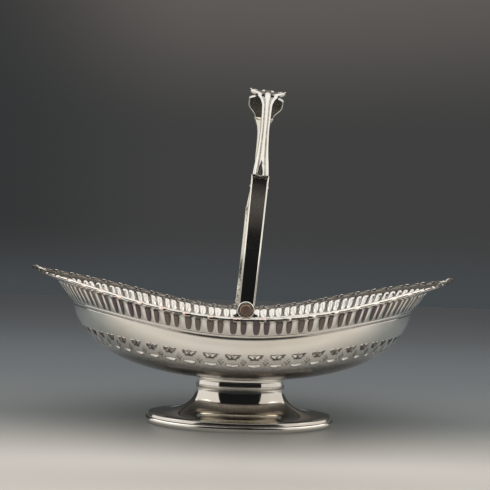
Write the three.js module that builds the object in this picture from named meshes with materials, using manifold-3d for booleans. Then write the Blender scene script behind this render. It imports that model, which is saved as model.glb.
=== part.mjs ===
// A swing-handled basket in silver plate: a pointed oval bowl with a fluted band, a pierced
// band and an applied scalloped border, on a spread oval foot, with a bail handle on two rivets.
// Millimetres, +Z up, +X along the bowl. The origin is on the table under the middle of the foot.

import * as THREE from 'three';
import { mergeVertices } from 'three/addons/utils/BufferGeometryUtils.js';
import Module from 'manifold-3d';

const wasm = await Module();
wasm.setup();

// Fits and sheet
const GAP = 0.3;               // room left between two pieces that are soldered or seated
const RUNNING = 0.1;           // room round a rivet in the piece that turns on it
const WALL = 1;                // gauge of the bowl's sheet
const FOOT_WALL = 1.1;         // gauge of the foot's sheet

// Bowl: each level is a closed curve round the bowl, lowest at mid-side and highest at the tips.
// The fluted band goes out and up from the ridge, and the flange from the band's top.
const BOWL_BOTTOM = 33;        // height of the bowl's underside at the middle
const RIDGE = { halfLength: 130.3, halfWidth: 98, point: 1.2, low: 73, high: 89.5 };
const BAND = { halfLength: 13.3, halfWidth: 8.8, point: 0.15, low: 8.6, high: 15.5 };
const FLANGE = { halfLength: 20.6, halfWidth: 10.4, point: 0.15, low: 1.8, high: 8.4 };
const BODY_FULLNESS = 2.6;     // how soon the body turns up from its flat bottom
const BODY_CURL = 0.59;        // how upright the body stands under the ridge
const BAND_BULGE = 2;          // how far the fluted band bellies out between its edges
const SHEER = [28 / 15, -4 / 3, 7 / 15];  // rise of the rim from mid-side to tip, by powers of x
const RIDGE_STEP = 0.7;        // how far the ridge under the flutes stands proud

// Ornament that runs round the bowl
const REPEATS = 54;            // scallops in the border, each over a pair of flutes
const FLUTE_DEPTH = 2.2;
const FLUTE_SPACING = [0.2, 0.5, 0.73, 0.93];  // rib, wide flute, rib, narrow flute
const FLUTE_LEVELS = [1.16, 1.55];             // where the flutes are at full depth
const SLIT_LEVELS = [0.868, 0.886];
const SLIT_SHARE = 0.52;       // part of each repeat that a slit takes
const FAN_LEVELS = [0.912, 0.946];
const FAN_SHARES = [0.1, 0.56];  // part that a fan takes, at its point and along its top
const RIM_SPREAD = 1.07;       // spacing of the border at mid-side, against the flutes
const MOST_WIDENING = 1.25;    // most that the spacing on the body is widened there

// Applied border
const BORDER_WIDTH = 4.4;
const BORDER_LIP = 0.8;        // how far the border stands out past the flange
const BORDER_BASE = 0.7;       // thickness at the notches
const BORDER_CROWN = 1.1;      // extra height of a scroll or bead
const BORDER_STEPS = [0.16, 0.52, 0.65, 0.79];  // scroll, notch, bead, notch
const BORDER_PITCH = 15.3;     // length of a repeat along the rim at mid-side
const SHORTEST_STEP = 0.05;    // least part of a repeat between two sections of the border
const TIP_REPEATS = 1.28;      // repeats that a tip piece covers each way from its point
const TIP_TONGUE = 12;         // how far the leaf reaches in along the axis

// Foot
const FOOT_HALF_LENGTH = 72.3;
const FOOT_HALF_WIDTH = 40;
const EDGE_WIRE = 5;           // breadth of the edge wire
const DISH_HEIGHT = 7;         // top of the dished base at its edge
const NECK_HALF_LENGTH = 34;
const NECK_HALF_WIDTH = 20;
const STEM_TOP = 28.1;
const BEAD_RADIUS = 1.15;
const COLLAR_FLARE = 6.4;      // how far the collar spreads above the bead
const STEPS_ROUND_FOOT = 48;

// Hinge, measured across the basket from the rim's edge inwards
const PIVOT_HEIGHT = 90;
const HINGE_INSET = 4.9;       // middle of the strap, in from the edge of the flange
const STRAP_THICK = 1.8;
const EAR_THICK = 1.6;
const EAR_RADIUS = 4.7;
const EAR_FOOT = 15;           // length of the lug along the rim
const WASHER_THICK = 0.8;
const WASHER_RADIUS = 3;
const SHANK_RADIUS = 1.6;
const HEAD_RADIUS = 3.4;
const HEAD_THICK = 1.2;
const PEEN_RADIUS = 2.5;
const PEEN_THICK = 0.8;

// Handle, measured up from the pivot when it stands upright
const HANDLE_LEAN = 4.8;       // degrees from upright, as it stands in the hinge
const EYE_RADIUS = 5.3;
const LEG_RISE = 87;
const LEG_TOP_REACH = 85;      // half the distance between the tops of the legs
const LEG_BOW = 8;             // pull of the leg outwards, and how far below its top
const LEG_BOW_DROP = 25;
const LEG_FOOT_WIDTH = 9.9;
const LEG_TOP_WIDTH = 11.7;
const LEG_START = 0.034;       // share of the leg's curve where the strap leaves the eye
const PANEL_MARGIN = 1.3;
const PANEL_DEPTH = 0.7;
const LEDGE_LENGTH = 1.3;
const CREST_RISE = 168.2;      // middle of the grip's thickness at its crown
const ARCH_LEAN = 21;          // pull of the arch along the legs
const ARCH_FLAT = 34;          // pull of the arch along its crown
const STALK_THICK = 3.4;
const GRIP_THICK = 2.2;

// Reach from the middle of the handle, and full width there
const GRIP_WIDTHS = [          // notch, corners, and drawn in to the stalk
  [0, 17], [6, 17.6], [7.6, 20.5], [8.8, 26.6], [10.8, 29.2],
  [18, 29.2], [20.5, 27], [23.5, 22], [26, 17.6], [28.5, 15.2],
];

// Share of the way from the grip to the leg, and full width there
const STALK_WIDTHS = [         // barb, waist, and spread to the leg
  [0, 15.2], [0.02, 16.4], [0.075, 13.6], [0.13, 10.8], [0.2, 8.8], [0.25, 7.9], [0.38, 7.2],
  [0.5, 6.9], [0.61, 6.2], [0.72, 6.6], [0.825, 7.2], [0.915, 8.4], [1, 10],
];

// Finishes
const PLATE = { color: 0xd8d2c4, roughness: 0.12, metalness: 1 };
const CAST_PLATE = { color: 0xcfc8b8, roughness: 0.2, metalness: 1 };
const WORN_COPPER = { color: 0x94685a, roughness: 0.38, metalness: 1 };

const X_AXIS = new THREE.Vector3(1, 0, 0);

// Mesh building

// Gathers corners and triangles and gives them back as one closed geometry.
class Skin {
  constructor() {
    this.corners = [];
    this.faces = [];
  }

  // Adds a closed loop of points, each with its share of the way round.
  loop(points, shares) {
    const first = this.corners.length;
    this.corners.push(...points);
    return points.map((_, i) => ({ id: first + i, share: shares[i] }));
  }

  quad(a, b, c, d) {
    this.faces.push([a, b, c], [a, c, d]);
  }

  // Joins two loops, which may have different counts, facing out or in.
  zip(lower, upper, outward) {
    const shareAt = (loop, i) => (i < loop.length ? loop[i].share : loop[0].share + 1);
    let i = 0;
    let j = 0;
    while (i < lower.length || j < upper.length) {
      const a = lower[i % lower.length].id;
      const b = upper[j % upper.length].id;
      const lowerTurn = j >= upper.length
        || (i < lower.length && shareAt(lower, i + 1) <= shareAt(upper, j + 1));
      const next = lowerTurn ? lower[(i + 1) % lower.length].id : upper[(j + 1) % upper.length].id;
      this.faces.push(outward ? [a, next, b] : [a, b, next]);
      if (lowerTurn) i += 1;
      else j += 1;
    }
  }

  // Closes a loop with a fan round one point.
  fan(centre, loop, outward) {
    const hub = this.corners.push(centre) - 1;
    loop.forEach((corner, i) => {
      const next = loop[(i + 1) % loop.length];
      this.faces.push(outward ? [hub, next.id, corner.id] : [hub, corner.id, next.id]);
    });
  }

  // Walls round a hole that goes through one cell of an outer and an inner strip.
  pierce(outLow, outHigh, inLow, inHigh, k) {
    const n = (k + 1) % outLow.length;
    this.quad(outLow[k].id, outLow[n].id, inLow[n].id, inLow[k].id);
    this.quad(outHigh[n].id, outHigh[k].id, inHigh[k].id, inHigh[n].id);
    this.quad(outHigh[k].id, outLow[k].id, inLow[k].id, inHigh[k].id);
    this.quad(outLow[n].id, outHigh[n].id, inHigh[n].id, inLow[n].id);
  }

  geometry() {
    const volume = this.faces.reduce((sum, [a, b, c]) => {
      const cross = new THREE.Vector3().crossVectors(this.corners[b], this.corners[c]);
      return sum + this.corners[a].dot(cross);
    }, 0);
    const faces = volume < 0 ? this.faces.map(([a, b, c]) => [a, c, b]) : this.faces;
    const geometry = new THREE.BufferGeometry();
    const places = this.corners.flatMap((corner) => corner.toArray());
    geometry.setAttribute('position', new THREE.Float32BufferAttribute(places, 3));
    geometry.setIndex(faces.flat());
    return geometry;
  }
}

// A solid through a row of sections with the same number of points.
function loft(sections, closed = false) {
  const skin = new Skin();
  skin.corners = sections.flat();
  const count = sections[0].length;
  const spans = closed ? sections.length : sections.length - 1;
  for (let s = 0; s < spans; s += 1) {
    const here = s * count;
    const there = ((s + 1) % sections.length) * count;
    for (let i = 0; i < count; i += 1) {
      const n = (i + 1) % count;
      skin.quad(here + i, here + n, there + n, there + i);
    }
  }
  if (!closed) {
    const last = (sections.length - 1) * count;
    for (const [a, b, c] of flatTriangles(sections[0])) skin.faces.push([a, c, b]);
    for (const [a, b, c] of flatTriangles(sections.at(-1))) {
      skin.faces.push([last + a, last + b, last + c]);
    }
  }
  return skin.geometry();
}

// Triangles that close a flat section, turned the way that its points run.
function flatTriangles(points) {
  const normal = new THREE.Vector3();
  points.forEach((point, i) => {
    const next = points[(i + 1) % points.length];
    normal.add(new THREE.Vector3().crossVectors(point, next));
  });
  normal.normalize();
  const across = new THREE.Vector3().subVectors(points[1], points[0]).normalize();
  const up = new THREE.Vector3().crossVectors(normal, across);
  const outline = points.map((p) => new THREE.Vector2(p.dot(across), p.dot(up)));
  return THREE.ShapeUtils.triangulateShape(outline, []);
}

// Boolean joins and cuts

function solidOf(source) {
  const bare = source.clone();
  bare.deleteAttribute('normal');
  bare.deleteAttribute('uv');
  const merged = mergeVertices(bare, 1e-4);
  return new wasm.Manifold(new wasm.Mesh({
    numProp: 3,
    vertProperties: new Float32Array(merged.attributes.position.array),
    triVerts: new Uint32Array(merged.index.array),
  }));
}

function geometryOf(solid) {
  const mesh = solid.getMesh();
  const geometry = new THREE.BufferGeometry();
  geometry.setAttribute('position', new THREE.BufferAttribute(new Float32Array(mesh.vertProperties), 3));
  geometry.setIndex(new THREE.BufferAttribute(new Uint32Array(mesh.triVerts), 1));
  return geometry;
}

// A disc or bar along Y between two places.
function barAlongY(radius, y0, y1, facets = 24) {
  const bar = new THREE.CylinderGeometry(radius, radius, Math.abs(y1 - y0), facets);
  return bar.translate(0, (y0 + y1) / 2, 0);
}

// The bowl's surface

const mix = (a, b, share) => a + (b - a) * share;

// A level curve with a share of a band's growth added to each of its sizes.
function grown(level, band, share = 1) {
  const curve = {};
  for (const size of Object.keys(level)) curve[size] = level[size] + share * band[size];
  return curve;
}

const BAND_TOP = grown(RIDGE, BAND);
const RIM = grown(BAND_TOP, FLANGE);

// Rise from mid-side (0) to tip (1) at a share of the half length.
function sheer(share) {
  const square = share * share;
  return square * (SHEER[0] + square * (SHEER[1] + square * SHEER[2]));
}

// Level 0 to 1 is the body up to the ridge, 1 to 2 the fluted band, and 2 to 3 the flange.
function levelAt(level) {
  if (level <= 1) {
    const share = Math.max(level, 0);
    const turn = 1 - (1 - share ** BODY_FULLNESS) ** BODY_CURL;
    return {
      halfLength: RIDGE.halfLength * share,
      halfWidth: RIDGE.halfWidth * share,
      point: mix(1, RIDGE.point, share),
      low: mix(BOWL_BOTTOM, RIDGE.low, turn),
      high: mix(BOWL_BOTTOM, RIDGE.high, turn),
    };
  }
  if (level <= 2) {
    const band = grown(RIDGE, BAND, level - 1);
    const belly = BAND_BULGE * Math.sin(Math.PI * (level - 1));
    band.halfLength += belly;
    band.halfWidth += belly;
    return band;
  }
  return grown(BAND_TOP, FLANGE, level - 2);
}

function bowlPoint(level, angle) {
  const curve = levelAt(level);
  const across = Math.sin(angle);
  return new THREE.Vector3(
    curve.halfLength * Math.cos(angle),
    Math.sign(across) * curve.halfWidth * Math.abs(across) ** curve.point,
    mix(curve.low, curve.high, sheer(Math.abs(Math.cos(angle)))),
  );
}

// Outward direction of the bowl's surface, from its slopes along and across.
function bowlNormal(level, angle) {
  const step = 0.02;
  const around = bowlPoint(level, angle + step).sub(bowlPoint(level, angle - step));
  const above = bowlPoint(level + step, angle).sub(bowlPoint(Math.max(level - step, 0), angle));
  return around.cross(above).normalize();
}

// A point set in from the bowl's outer surface by a depth.
function setIn(level, angle, depth) {
  return bowlPoint(level, angle).addScaledVector(bowlNormal(level, angle), -depth);
}

// Angle for a share of the way round, at even steps along the top of the fluted band.
const angleAt = (() => {
  const samples = 1440;
  const lengths = [0];
  for (let i = 1; i <= samples; i += 1) {
    const here = bowlPoint(2, (2 * Math.PI * i) / samples);
    const before = bowlPoint(2, (2 * Math.PI * (i - 1)) / samples);
    lengths.push(lengths[i - 1] + here.distanceTo(before));
  }
  return (share) => {
    const turns = Math.floor(share);
    const target = (share - turns) * lengths[samples];
    const i = Math.min(lengths.findIndex((length) => length > target - 1e-9), samples);
    if (i <= 0) return 2 * Math.PI * turns;
    const part = (target - lengths[i - 1]) / (lengths[i] - lengths[i - 1]);
    return 2 * Math.PI * (turns + (i - 1 + part) / samples);
  };
})();

// Angle at a level for a share of the way round. The columns of ornament stand nearly upright at
// mid-side, so they are spread there on the short curves of the body.
function columnAngle(level, share) {
  const angle = angleAt(share - 0.5 / REPEATS);
  const spread = mix(1, RIM_SPREAD, Math.max(level - 2, 0));
  const widening = (spread * BAND_TOP.halfLength) / levelAt(level).halfLength;
  return angle - ((Math.min(widening, MOST_WIDENING) - 1) / 2) * Math.sin(2 * angle);
}

// Bowl

function fluteDepth(level, place) {
  const inFlute = place % 2 === 1;
  const full = FLUTE_LEVELS.includes(level);
  return inFlute && full ? FLUTE_DEPTH : 0;
}

// Shares of the way round for a loop with the given places in each repeat.
function sharesFor(places) {
  const shares = [];
  for (let repeat = 0; repeat < REPEATS; repeat += 1) {
    for (const place of places) shares.push((repeat + place) / REPEATS);
  }
  return shares;
}

function bowlShell() {
  const skin = new Skin();
  const plain = [0.5];
  const cut = (share) => [0, (1 - share) / 2, (1 + share) / 2];
  const rows = [
    { level: 0.3, places: plain },
    { level: 0.56, places: plain },
    { level: 0.76, places: plain },
    { level: SLIT_LEVELS[0], places: cut(SLIT_SHARE), pierced: true },
    { level: SLIT_LEVELS[1], places: cut(SLIT_SHARE) },
    { level: FAN_LEVELS[0], places: cut(FAN_SHARES[0]), pierced: true },
    { level: FAN_LEVELS[1], places: cut(FAN_SHARES[1]) },
    { level: 0.982, places: plain },
    { level: 1, places: FLUTE_SPACING, proud: RIDGE_STEP },
    { level: FLUTE_LEVELS[0], places: FLUTE_SPACING },
    { level: FLUTE_LEVELS[1], places: FLUTE_SPACING },
    { level: 2, places: FLUTE_SPACING },
    { level: 3, places: FLUTE_SPACING },
  ];
  for (const row of rows) {
    const shares = sharesFor(row.places);
    const placed = (extra) => shares.map((share, i) => {
      const depth = fluteDepth(row.level, i % row.places.length) - (row.proud ?? 0);
      return setIn(row.level, columnAngle(row.level, share), depth + extra);
    });
    row.outer = skin.loop(placed(0), shares);
    row.inner = skin.loop(placed(WALL), shares);
  }
  skin.fan(new THREE.Vector3(0, 0, BOWL_BOTTOM), rows[0].outer, true);
  skin.fan(new THREE.Vector3(0, 0, BOWL_BOTTOM + WALL), rows[0].inner, false);
  rows.slice(0, -1).forEach((row, r) => {
    const above = rows[r + 1];
    if (!row.pierced) {
      skin.zip(row.outer, above.outer, true);
      skin.zip(row.inner, above.inner, false);
      return;
    }
    row.outer.forEach((corner, k) => {
      const n = (k + 1) % row.outer.length;
      if (k % row.places.length === 1) {
        skin.pierce(row.outer, above.outer, row.inner, above.inner, k);
        return;
      }
      skin.quad(corner.id, row.outer[n].id, above.outer[n].id, above.outer[k].id);
      skin.quad(row.inner[n].id, row.inner[k].id, above.inner[k].id, above.inner[n].id);
    });
  });
  const rim = rows.at(-1);
  skin.zip(rim.outer, rim.inner, true);
  return skin.geometry();
}

// Applied border

// A point on the flange's upper face, at a distance in from its edge and a height above it.
function onFlange(share, inFromEdge, height) {
  const angle = columnAngle(3, share);
  const breadth = bowlPoint(3, angle).distanceTo(bowlPoint(2, angle));
  return setIn(3 - inFromEdge / breadth, angle, WALL + height);
}

// Section of the border: flat below, with a crown that swells at each scroll and bead.
function borderSection(share, crown, innerReach) {
  const top = BORDER_BASE + BORDER_CROWN * crown;
  const lip = BORDER_LIP * mix(0.3, 1, crown);
  return [
    onFlange(share, innerReach, GAP),
    onFlange(share, -lip, GAP),
    onFlange(share, -lip, GAP + BORDER_BASE),
    onFlange(share, mix(-lip, BORDER_WIDTH, 0.35), GAP + top),
    onFlange(share, mix(-lip, BORDER_WIDTH, 0.75), GAP + mix(BORDER_BASE, top, 0.6)),
    onFlange(share, innerReach, GAP + 0.4 * BORDER_BASE),
  ];
}

// Places along the border from one repeat to another, with the crown at each.
function borderPlaces(from, to) {
  const places = [{ at: from, crown: 0 }];
  for (let repeat = Math.floor(from); repeat <= to; repeat += 1) {
    BORDER_STEPS.forEach((step, i) => {
      const at = repeat + step;
      const clear = at > from + SHORTEST_STEP && at < to - SHORTEST_STEP;
      if (clear) places.push({ at, crown: 1 - (i % 2) });
    });
  }
  places.push({ at: to, crown: 0 });
  return places;
}

const RIGHT_TIP = 0.5;           // repeats from the start of the count to each point
const LEFT_TIP = RIGHT_TIP + REPEATS / 2;
const TIP_ROOM = GAP / 2 / BORDER_PITCH;

// A long run of the border between the two tip pieces; side -1 is the front.
function borderRun(side) {
  const start = side < 0 ? LEFT_TIP : RIGHT_TIP;
  const margin = TIP_REPEATS + TIP_ROOM;
  const places = borderPlaces(start + margin, start + REPEATS / 2 - margin);
  return loft(places.map(({ at, crown }) => borderSection(at / REPEATS, crown, BORDER_WIDTH)));
}

// The leaf-shaped lip at one end; side -1 is the left.
function borderTip(side) {
  const middle = side < 0 ? LEFT_TIP : RIGHT_TIP + REPEATS;
  const reach = TIP_REPEATS - TIP_ROOM;
  const places = borderPlaces(middle - reach, middle + reach);
  return loft(places.map(({ at, crown }) => {
    const fromPoint = Math.min(Math.abs(at - middle) / reach, 1);
    const tongue = mix(TIP_TONGUE, BORDER_WIDTH, fromPoint ** 0.8);
    return borderSection(at / REPEATS, crown, tongue);
  }));
}

// Foot

const footWidth = (reach) => mix(
  NECK_HALF_WIDTH,
  FOOT_HALF_WIDTH,
  (reach - NECK_HALF_LENGTH) / (FOOT_HALF_LENGTH - NECK_HALF_LENGTH),
);

// A ring whose section is a list of points: reach along X, height, and inset from the outside.
function ovalRing(profile, heightAt = (point) => point.height) {
  const sections = [];
  for (let step = 0; step < STEPS_ROUND_FOOT; step += 1) {
    const angle = (2 * Math.PI * step) / STEPS_ROUND_FOOT;
    sections.push(profile.map((point) => {
      const inset = point.inset ?? 0;
      const x = (point.reach - inset) * Math.cos(angle);
      const y = (footWidth(point.reach) - inset) * Math.sin(angle);
      return new THREE.Vector3(x, y, heightAt(point, x, y));
    }));
  }
  return loft(sections, true);
}

// The outer curve with its offset copy inside, as one closed section.
function sheetProfile(curve, wall) {
  const inside = curve.map((point, i) => {
    const before = curve[Math.max(i - 1, 0)];
    const after = curve[Math.min(i + 1, curve.length - 1)];
    const run = after.reach - before.reach;
    const rise = after.height - before.height;
    const length = Math.hypot(run, rise);
    return {
      ...point,
      inset: (-rise / length) * wall,
      height: point.height + (run / length) * -wall,
    };
  });
  return [...curve, ...inside.reverse()];
}

// Height of the bowl's underside over a place near its middle.
function bowlUnderside(x, y) {
  const share = Math.hypot(x / RIDGE.halfLength, y / RIDGE.halfWidth);
  const angle = Math.atan2(y / RIDGE.halfWidth, x / RIDGE.halfLength);
  return bowlPoint(share, angle).z;
}

function footStem() {
  const steps = 9;
  const edge = FOOT_HALF_LENGTH - 0.6 * EDGE_WIRE;
  const curve = [];
  for (let i = 0; i <= steps; i += 1) {
    const share = i / steps;
    curve.push({
      reach: mix(NECK_HALF_LENGTH, edge, share ** 2.2),
      height: mix(DISH_HEIGHT, STEM_TOP, (1 - share) ** 1.9),
    });
  }
  return ovalRing(sheetProfile(curve, FOOT_WALL));
}

function footEdgeWire() {
  const top = DISH_HEIGHT - FOOT_WALL - GAP;
  const inner = FOOT_HALF_LENGTH - EDGE_WIRE;
  const arc = [];
  const steps = 6;
  for (let i = 0; i <= steps; i += 1) {
    const angle = mix(-Math.PI / 2, Math.PI / 2, i / steps);
    arc.push({
      reach: FOOT_HALF_LENGTH - (top / 2) * (1 - Math.cos(angle)),
      height: (top / 2) * (1 + Math.sin(angle)),
    });
  }
  return ovalRing([...arc, { reach: inner, height: top }, { reach: inner, height: 0 }]);
}

const BEAD_HEIGHT = STEM_TOP + GAP + BEAD_RADIUS;

function neckBead() {
  const facets = 8;
  const profile = [];
  for (let i = 0; i < facets; i += 1) {
    const angle = (2 * Math.PI * (i + 0.5)) / facets;
    profile.push({
      reach: NECK_HALF_LENGTH + 0.2 + BEAD_RADIUS * Math.cos(angle),
      height: BEAD_HEIGHT + BEAD_RADIUS * Math.sin(angle),
    });
  }
  return ovalRing(profile);
}

function footNeck() {
  const steps = 4;
  const low = BEAD_HEIGHT + BEAD_RADIUS + GAP;
  const curve = [];
  for (let i = 0; i <= steps; i += 1) {
    const share = i / steps;
    curve.push({
      reach: NECK_HALF_LENGTH + COLLAR_FLARE * share ** 1.7,
      height: share,
      inset: 0,
    });
  }
  const inside = curve.map((point) => ({ ...point, inset: FOOT_WALL })).reverse();
  return ovalRing([...curve, ...inside], (point, x, y) => {
    const seat = bowlUnderside(x, y) - GAP;
    return mix(low, seat, point.height);
  });
}

// Hinge

const STRAP_MIDDLE = RIM.halfWidth - HINGE_INSET;
const STRAP_INSIDE = STRAP_MIDDLE - STRAP_THICK / 2;
const EAR_OUTSIDE = STRAP_INSIDE - GAP;
const EAR_INSIDE = EAR_OUTSIDE - EAR_THICK;
const WASHER_OUTSIDE = EAR_INSIDE - GAP;
const WASHER_INSIDE = WASHER_OUTSIDE - WASHER_THICK;
const PEEN_OUTSIDE = WASHER_INSIDE - GAP;
const PEEN_INSIDE = PEEN_OUTSIDE - PEEN_THICK;
const HEAD_INSIDE = STRAP_MIDDLE + STRAP_THICK / 2 + GAP;
const HEAD_OUTSIDE = HEAD_INSIDE + HEAD_THICK;
const BORE_RADIUS = SHANK_RADIUS + RUNNING;

// Height of the flange's upper face at mid-side, at a distance from the middle.
function flangeTop(reach) {
  const share = (reach - BAND_TOP.halfWidth) / (RIM.halfWidth - BAND_TOP.halfWidth);
  return setIn(2 + share, Math.PI / 2, WALL).z;
}

// The ear stands on the flange: a straight foot with a round head over the rivet.
function hingeLug(side) {
  const foot = flangeTop(EAR_OUTSIDE) + GAP - PIVOT_HEIGHT;
  const outline = new THREE.Shape();
  outline.moveTo(-EAR_FOOT / 2, foot);
  outline.lineTo(EAR_FOOT / 2, foot);
  outline.lineTo(EAR_FOOT / 2, foot + 1);
  outline.quadraticCurveTo(EAR_RADIUS, foot + 1.4, EAR_RADIUS, 0);
  outline.absarc(0, 0, EAR_RADIUS, 0, Math.PI, false);
  outline.quadraticCurveTo(-EAR_RADIUS, foot + 1.4, -EAR_FOOT / 2, foot + 1);
  const bore = new THREE.Path();
  bore.absarc(0, 0, BORE_RADIUS, 0, 2 * Math.PI, true);
  outline.holes.push(bore);
  const ear = new THREE.ExtrudeGeometry(outline, {
    depth: EAR_THICK, bevelEnabled: false, curveSegments: 8,
  });
  ear.rotateX(Math.PI / 2);
  return ear.translate(0, side < 0 ? -EAR_INSIDE : EAR_OUTSIDE, 0);
}

// A turned piece about the hinge line, from radius and reach, on the front or the back.
function turnedOnHinge(profile, side) {
  const points = profile.map(([radius, reach]) => new THREE.Vector2(radius, -side * -reach));
  if (side < 0) points.reverse();
  return new THREE.LatheGeometry(points, 24);
}

function hingePin(side) {
  return turnedOnHinge([
    [0, PEEN_INSIDE],
    [PEEN_RADIUS, PEEN_INSIDE],
    [PEEN_RADIUS, PEEN_OUTSIDE],
    [SHANK_RADIUS, PEEN_OUTSIDE],
    [SHANK_RADIUS, HEAD_INSIDE],
    [HEAD_RADIUS, HEAD_INSIDE],
    [HEAD_RADIUS, HEAD_OUTSIDE - 0.4],
    [HEAD_RADIUS - 0.7, HEAD_OUTSIDE],
    [0, HEAD_OUTSIDE],
  ], side);
}

function hingeWasher(side) {
  return turnedOnHinge([
    [BORE_RADIUS, WASHER_INSIDE],
    [WASHER_RADIUS, WASHER_INSIDE],
    [WASHER_RADIUS, WASHER_OUTSIDE],
    [BORE_RADIUS, WASHER_OUTSIDE],
    [BORE_RADIUS, WASHER_INSIDE],
  ], side);
}

// Handle, in its own frame with the hinge line as the Y axis

const legCurve = new THREE.CubicBezierCurve(
  new THREE.Vector2(STRAP_MIDDLE, 0),
  new THREE.Vector2(STRAP_MIDDLE, LEG_RISE * 0.37),
  new THREE.Vector2(LEG_TOP_REACH + LEG_BOW, LEG_RISE - LEG_BOW_DROP),
  new THREE.Vector2(LEG_TOP_REACH, LEG_RISE),
);
const legHeading = legCurve.getTangent(1);
const archCurve = new THREE.CubicBezierCurve(
  legCurve.getPoint(1),
  legCurve.getPoint(1).addScaledVector(legHeading, ARCH_LEAN),
  new THREE.Vector2(ARCH_FLAT, CREST_RISE),
  new THREE.Vector2(0, CREST_RISE),
);

// Where the arch is at a reach from the middle, as a share of its curve.
function archShare(reach) {
  let low = 0;
  let high = 1;
  for (let i = 0; i < 40; i += 1) {
    const middle = (low + high) / 2;
    if (archCurve.getPoint(middle).x > reach) low = middle;
    else high = middle;
  }
  return (low + high) / 2;
}

// Sets a flat section of [width, height] points square across a curve of the handle.
function across(curve, share, side, section) {
  const place = curve.getPoint(share);
  const heading = curve.getTangent(share);
  const centre = new THREE.Vector3(0, side * place.x, place.y);
  const outward = new THREE.Vector3(0, side * heading.y, -heading.x);
  return section.map(([width, height]) => centre.clone()
    .addScaledVector(X_AXIS, width)
    .addScaledVector(outward, height));
}

function strapSection(width, depth) {
  const half = width / 2;
  const face = STRAP_THICK / 2;
  const panel = half - PANEL_MARGIN;
  return [
    [-half, -face], [half, -face], [half, face], [panel, face],
    [panel, face - depth], [-panel, face - depth], [-panel, face], [-half, face],
  ];
}

// A strap with a sunk panel, a round eye on the rivet and a ledge that closes the panel.
function handleLeg(side) {
  const widthAt = (share) => mix(LEG_FOOT_WIDTH, LEG_TOP_WIDTH, share);
  const ledgeStart = 1 - LEDGE_LENGTH / LEG_RISE;
  const runs = (from, to, steps, depth) => {
    const sections = [];
    for (let i = 0; i <= steps; i += 1) {
      const share = mix(from, to, i / steps);
      sections.push(across(legCurve, share, side, strapSection(widthAt(share), depth)));
    }
    return loft(sections);
  };
  const eye = barAlongY(
    EYE_RADIUS,
    side * (STRAP_MIDDLE - STRAP_THICK / 2),
    side * (STRAP_MIDDLE + STRAP_THICK / 2),
  );
  const bore = barAlongY(
    BORE_RADIUS,
    side * (STRAP_MIDDLE - STRAP_THICK),
    side * (STRAP_MIDDLE + STRAP_THICK),
  );
  const strap = solidOf(runs(LEG_START, 1, 8, PANEL_DEPTH));
  const ledge = solidOf(runs(ledgeStart, 1, 1, PANEL_DEPTH * 0.2));
  return geometryOf(strap.add(ledge).add(solidOf(eye)).subtract(solidOf(bore)));
}

// Three reeds on the outer face, over a flat back.
function reededSection(width) {
  const half = width / 2;
  const back = -STALK_THICK * 0.35;
  const reed = STALK_THICK * 0.5;
  const groove = STALK_THICK * 0.2;
  return [
    [-half * 0.86, back], [half * 0.86, back], [half, 0], [half * 0.72, reed],
    [half * 0.38, groove], [0, reed * 1.15], [-half * 0.38, groove],
    [-half * 0.72, reed], [-half, 0],
  ];
}

// A reeded arm between the end of the grip and the top of the leg.
function handleStalk(side) {
  const gripEnd = GRIP_WIDTHS.at(-1)[0] + GAP;
  const legEnd = LEG_TOP_REACH + GAP * legHeading.x;
  return loft(STALK_WIDTHS.map(([share, width]) => (
    across(archCurve, archShare(mix(gripEnd, legEnd, share)), side, reededSection(width)))));
}

// A plate that is thinner at its edges than over its middle half.
function plateSection(width) {
  const half = width / 2;
  const face = GRIP_THICK / 2;
  return [
    [-half, -face * 0.4], [-half * 0.5, -face], [half * 0.5, -face], [half, -face * 0.4],
    [half, face * 0.6], [half * 0.5, face], [-half * 0.5, face], [-half, face * 0.6],
  ];
}

// The top plate, from its front end over the crown to its back end.
function handleGrip() {
  const towardsFront = GRIP_WIDTHS.slice(1).reverse().map((spot) => [...spot, -1]);
  const towardsBack = GRIP_WIDTHS.map((spot) => [...spot, 1]);
  return loft([...towardsFront, ...towardsBack].map(([reach, width, side]) => (
    across(archCurve, archShare(reach), side, plateSection(width)))));
}

// Assembly

function mesh(name, geometry, finish) {
  const piece = new THREE.Mesh(geometry, new THREE.MeshStandardMaterial(finish));
  piece.name = name;
  return piece;
}

const SIDES = [['front', -1], ['back', 1]];

const basket = new THREE.Group();
basket.add(mesh('bowl_shell', bowlShell(), PLATE));
basket.add(mesh('border_tip_left', borderTip(-1), CAST_PLATE));
basket.add(mesh('border_tip_right', borderTip(1), CAST_PLATE));
basket.add(mesh('foot_neck', footNeck(), PLATE));
basket.add(mesh('neck_bead', neckBead(), PLATE));
basket.add(mesh('foot_stem', footStem(), PLATE));
basket.add(mesh('foot_edge_wire', footEdgeWire(), PLATE));

const hinge = new THREE.Group();
hinge.position.z = PIVOT_HEIGHT;
const handle = new THREE.Group();
handle.position.z = PIVOT_HEIGHT;
handle.rotation.y = THREE.MathUtils.degToRad(HANDLE_LEAN);

for (const [name, side] of SIDES) {
  basket.add(mesh(`border_${name}`, borderRun(side), CAST_PLATE));
  hinge.add(mesh(`hinge_lug_${name}`, hingeLug(side), CAST_PLATE));
  hinge.add(mesh(`hinge_pin_${name}`, hingePin(side), WORN_COPPER));
  hinge.add(mesh(`hinge_washer_${name}`, hingeWasher(side), PLATE));
  handle.add(mesh(`handle_leg_${name}`, handleLeg(side), PLATE));
  handle.add(mesh(`handle_stalk_${name}`, handleStalk(side), CAST_PLATE));
}
handle.add(mesh('handle_grip', handleGrip(), CAST_PLATE));
basket.add(hinge, handle);

export default basket;
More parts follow.
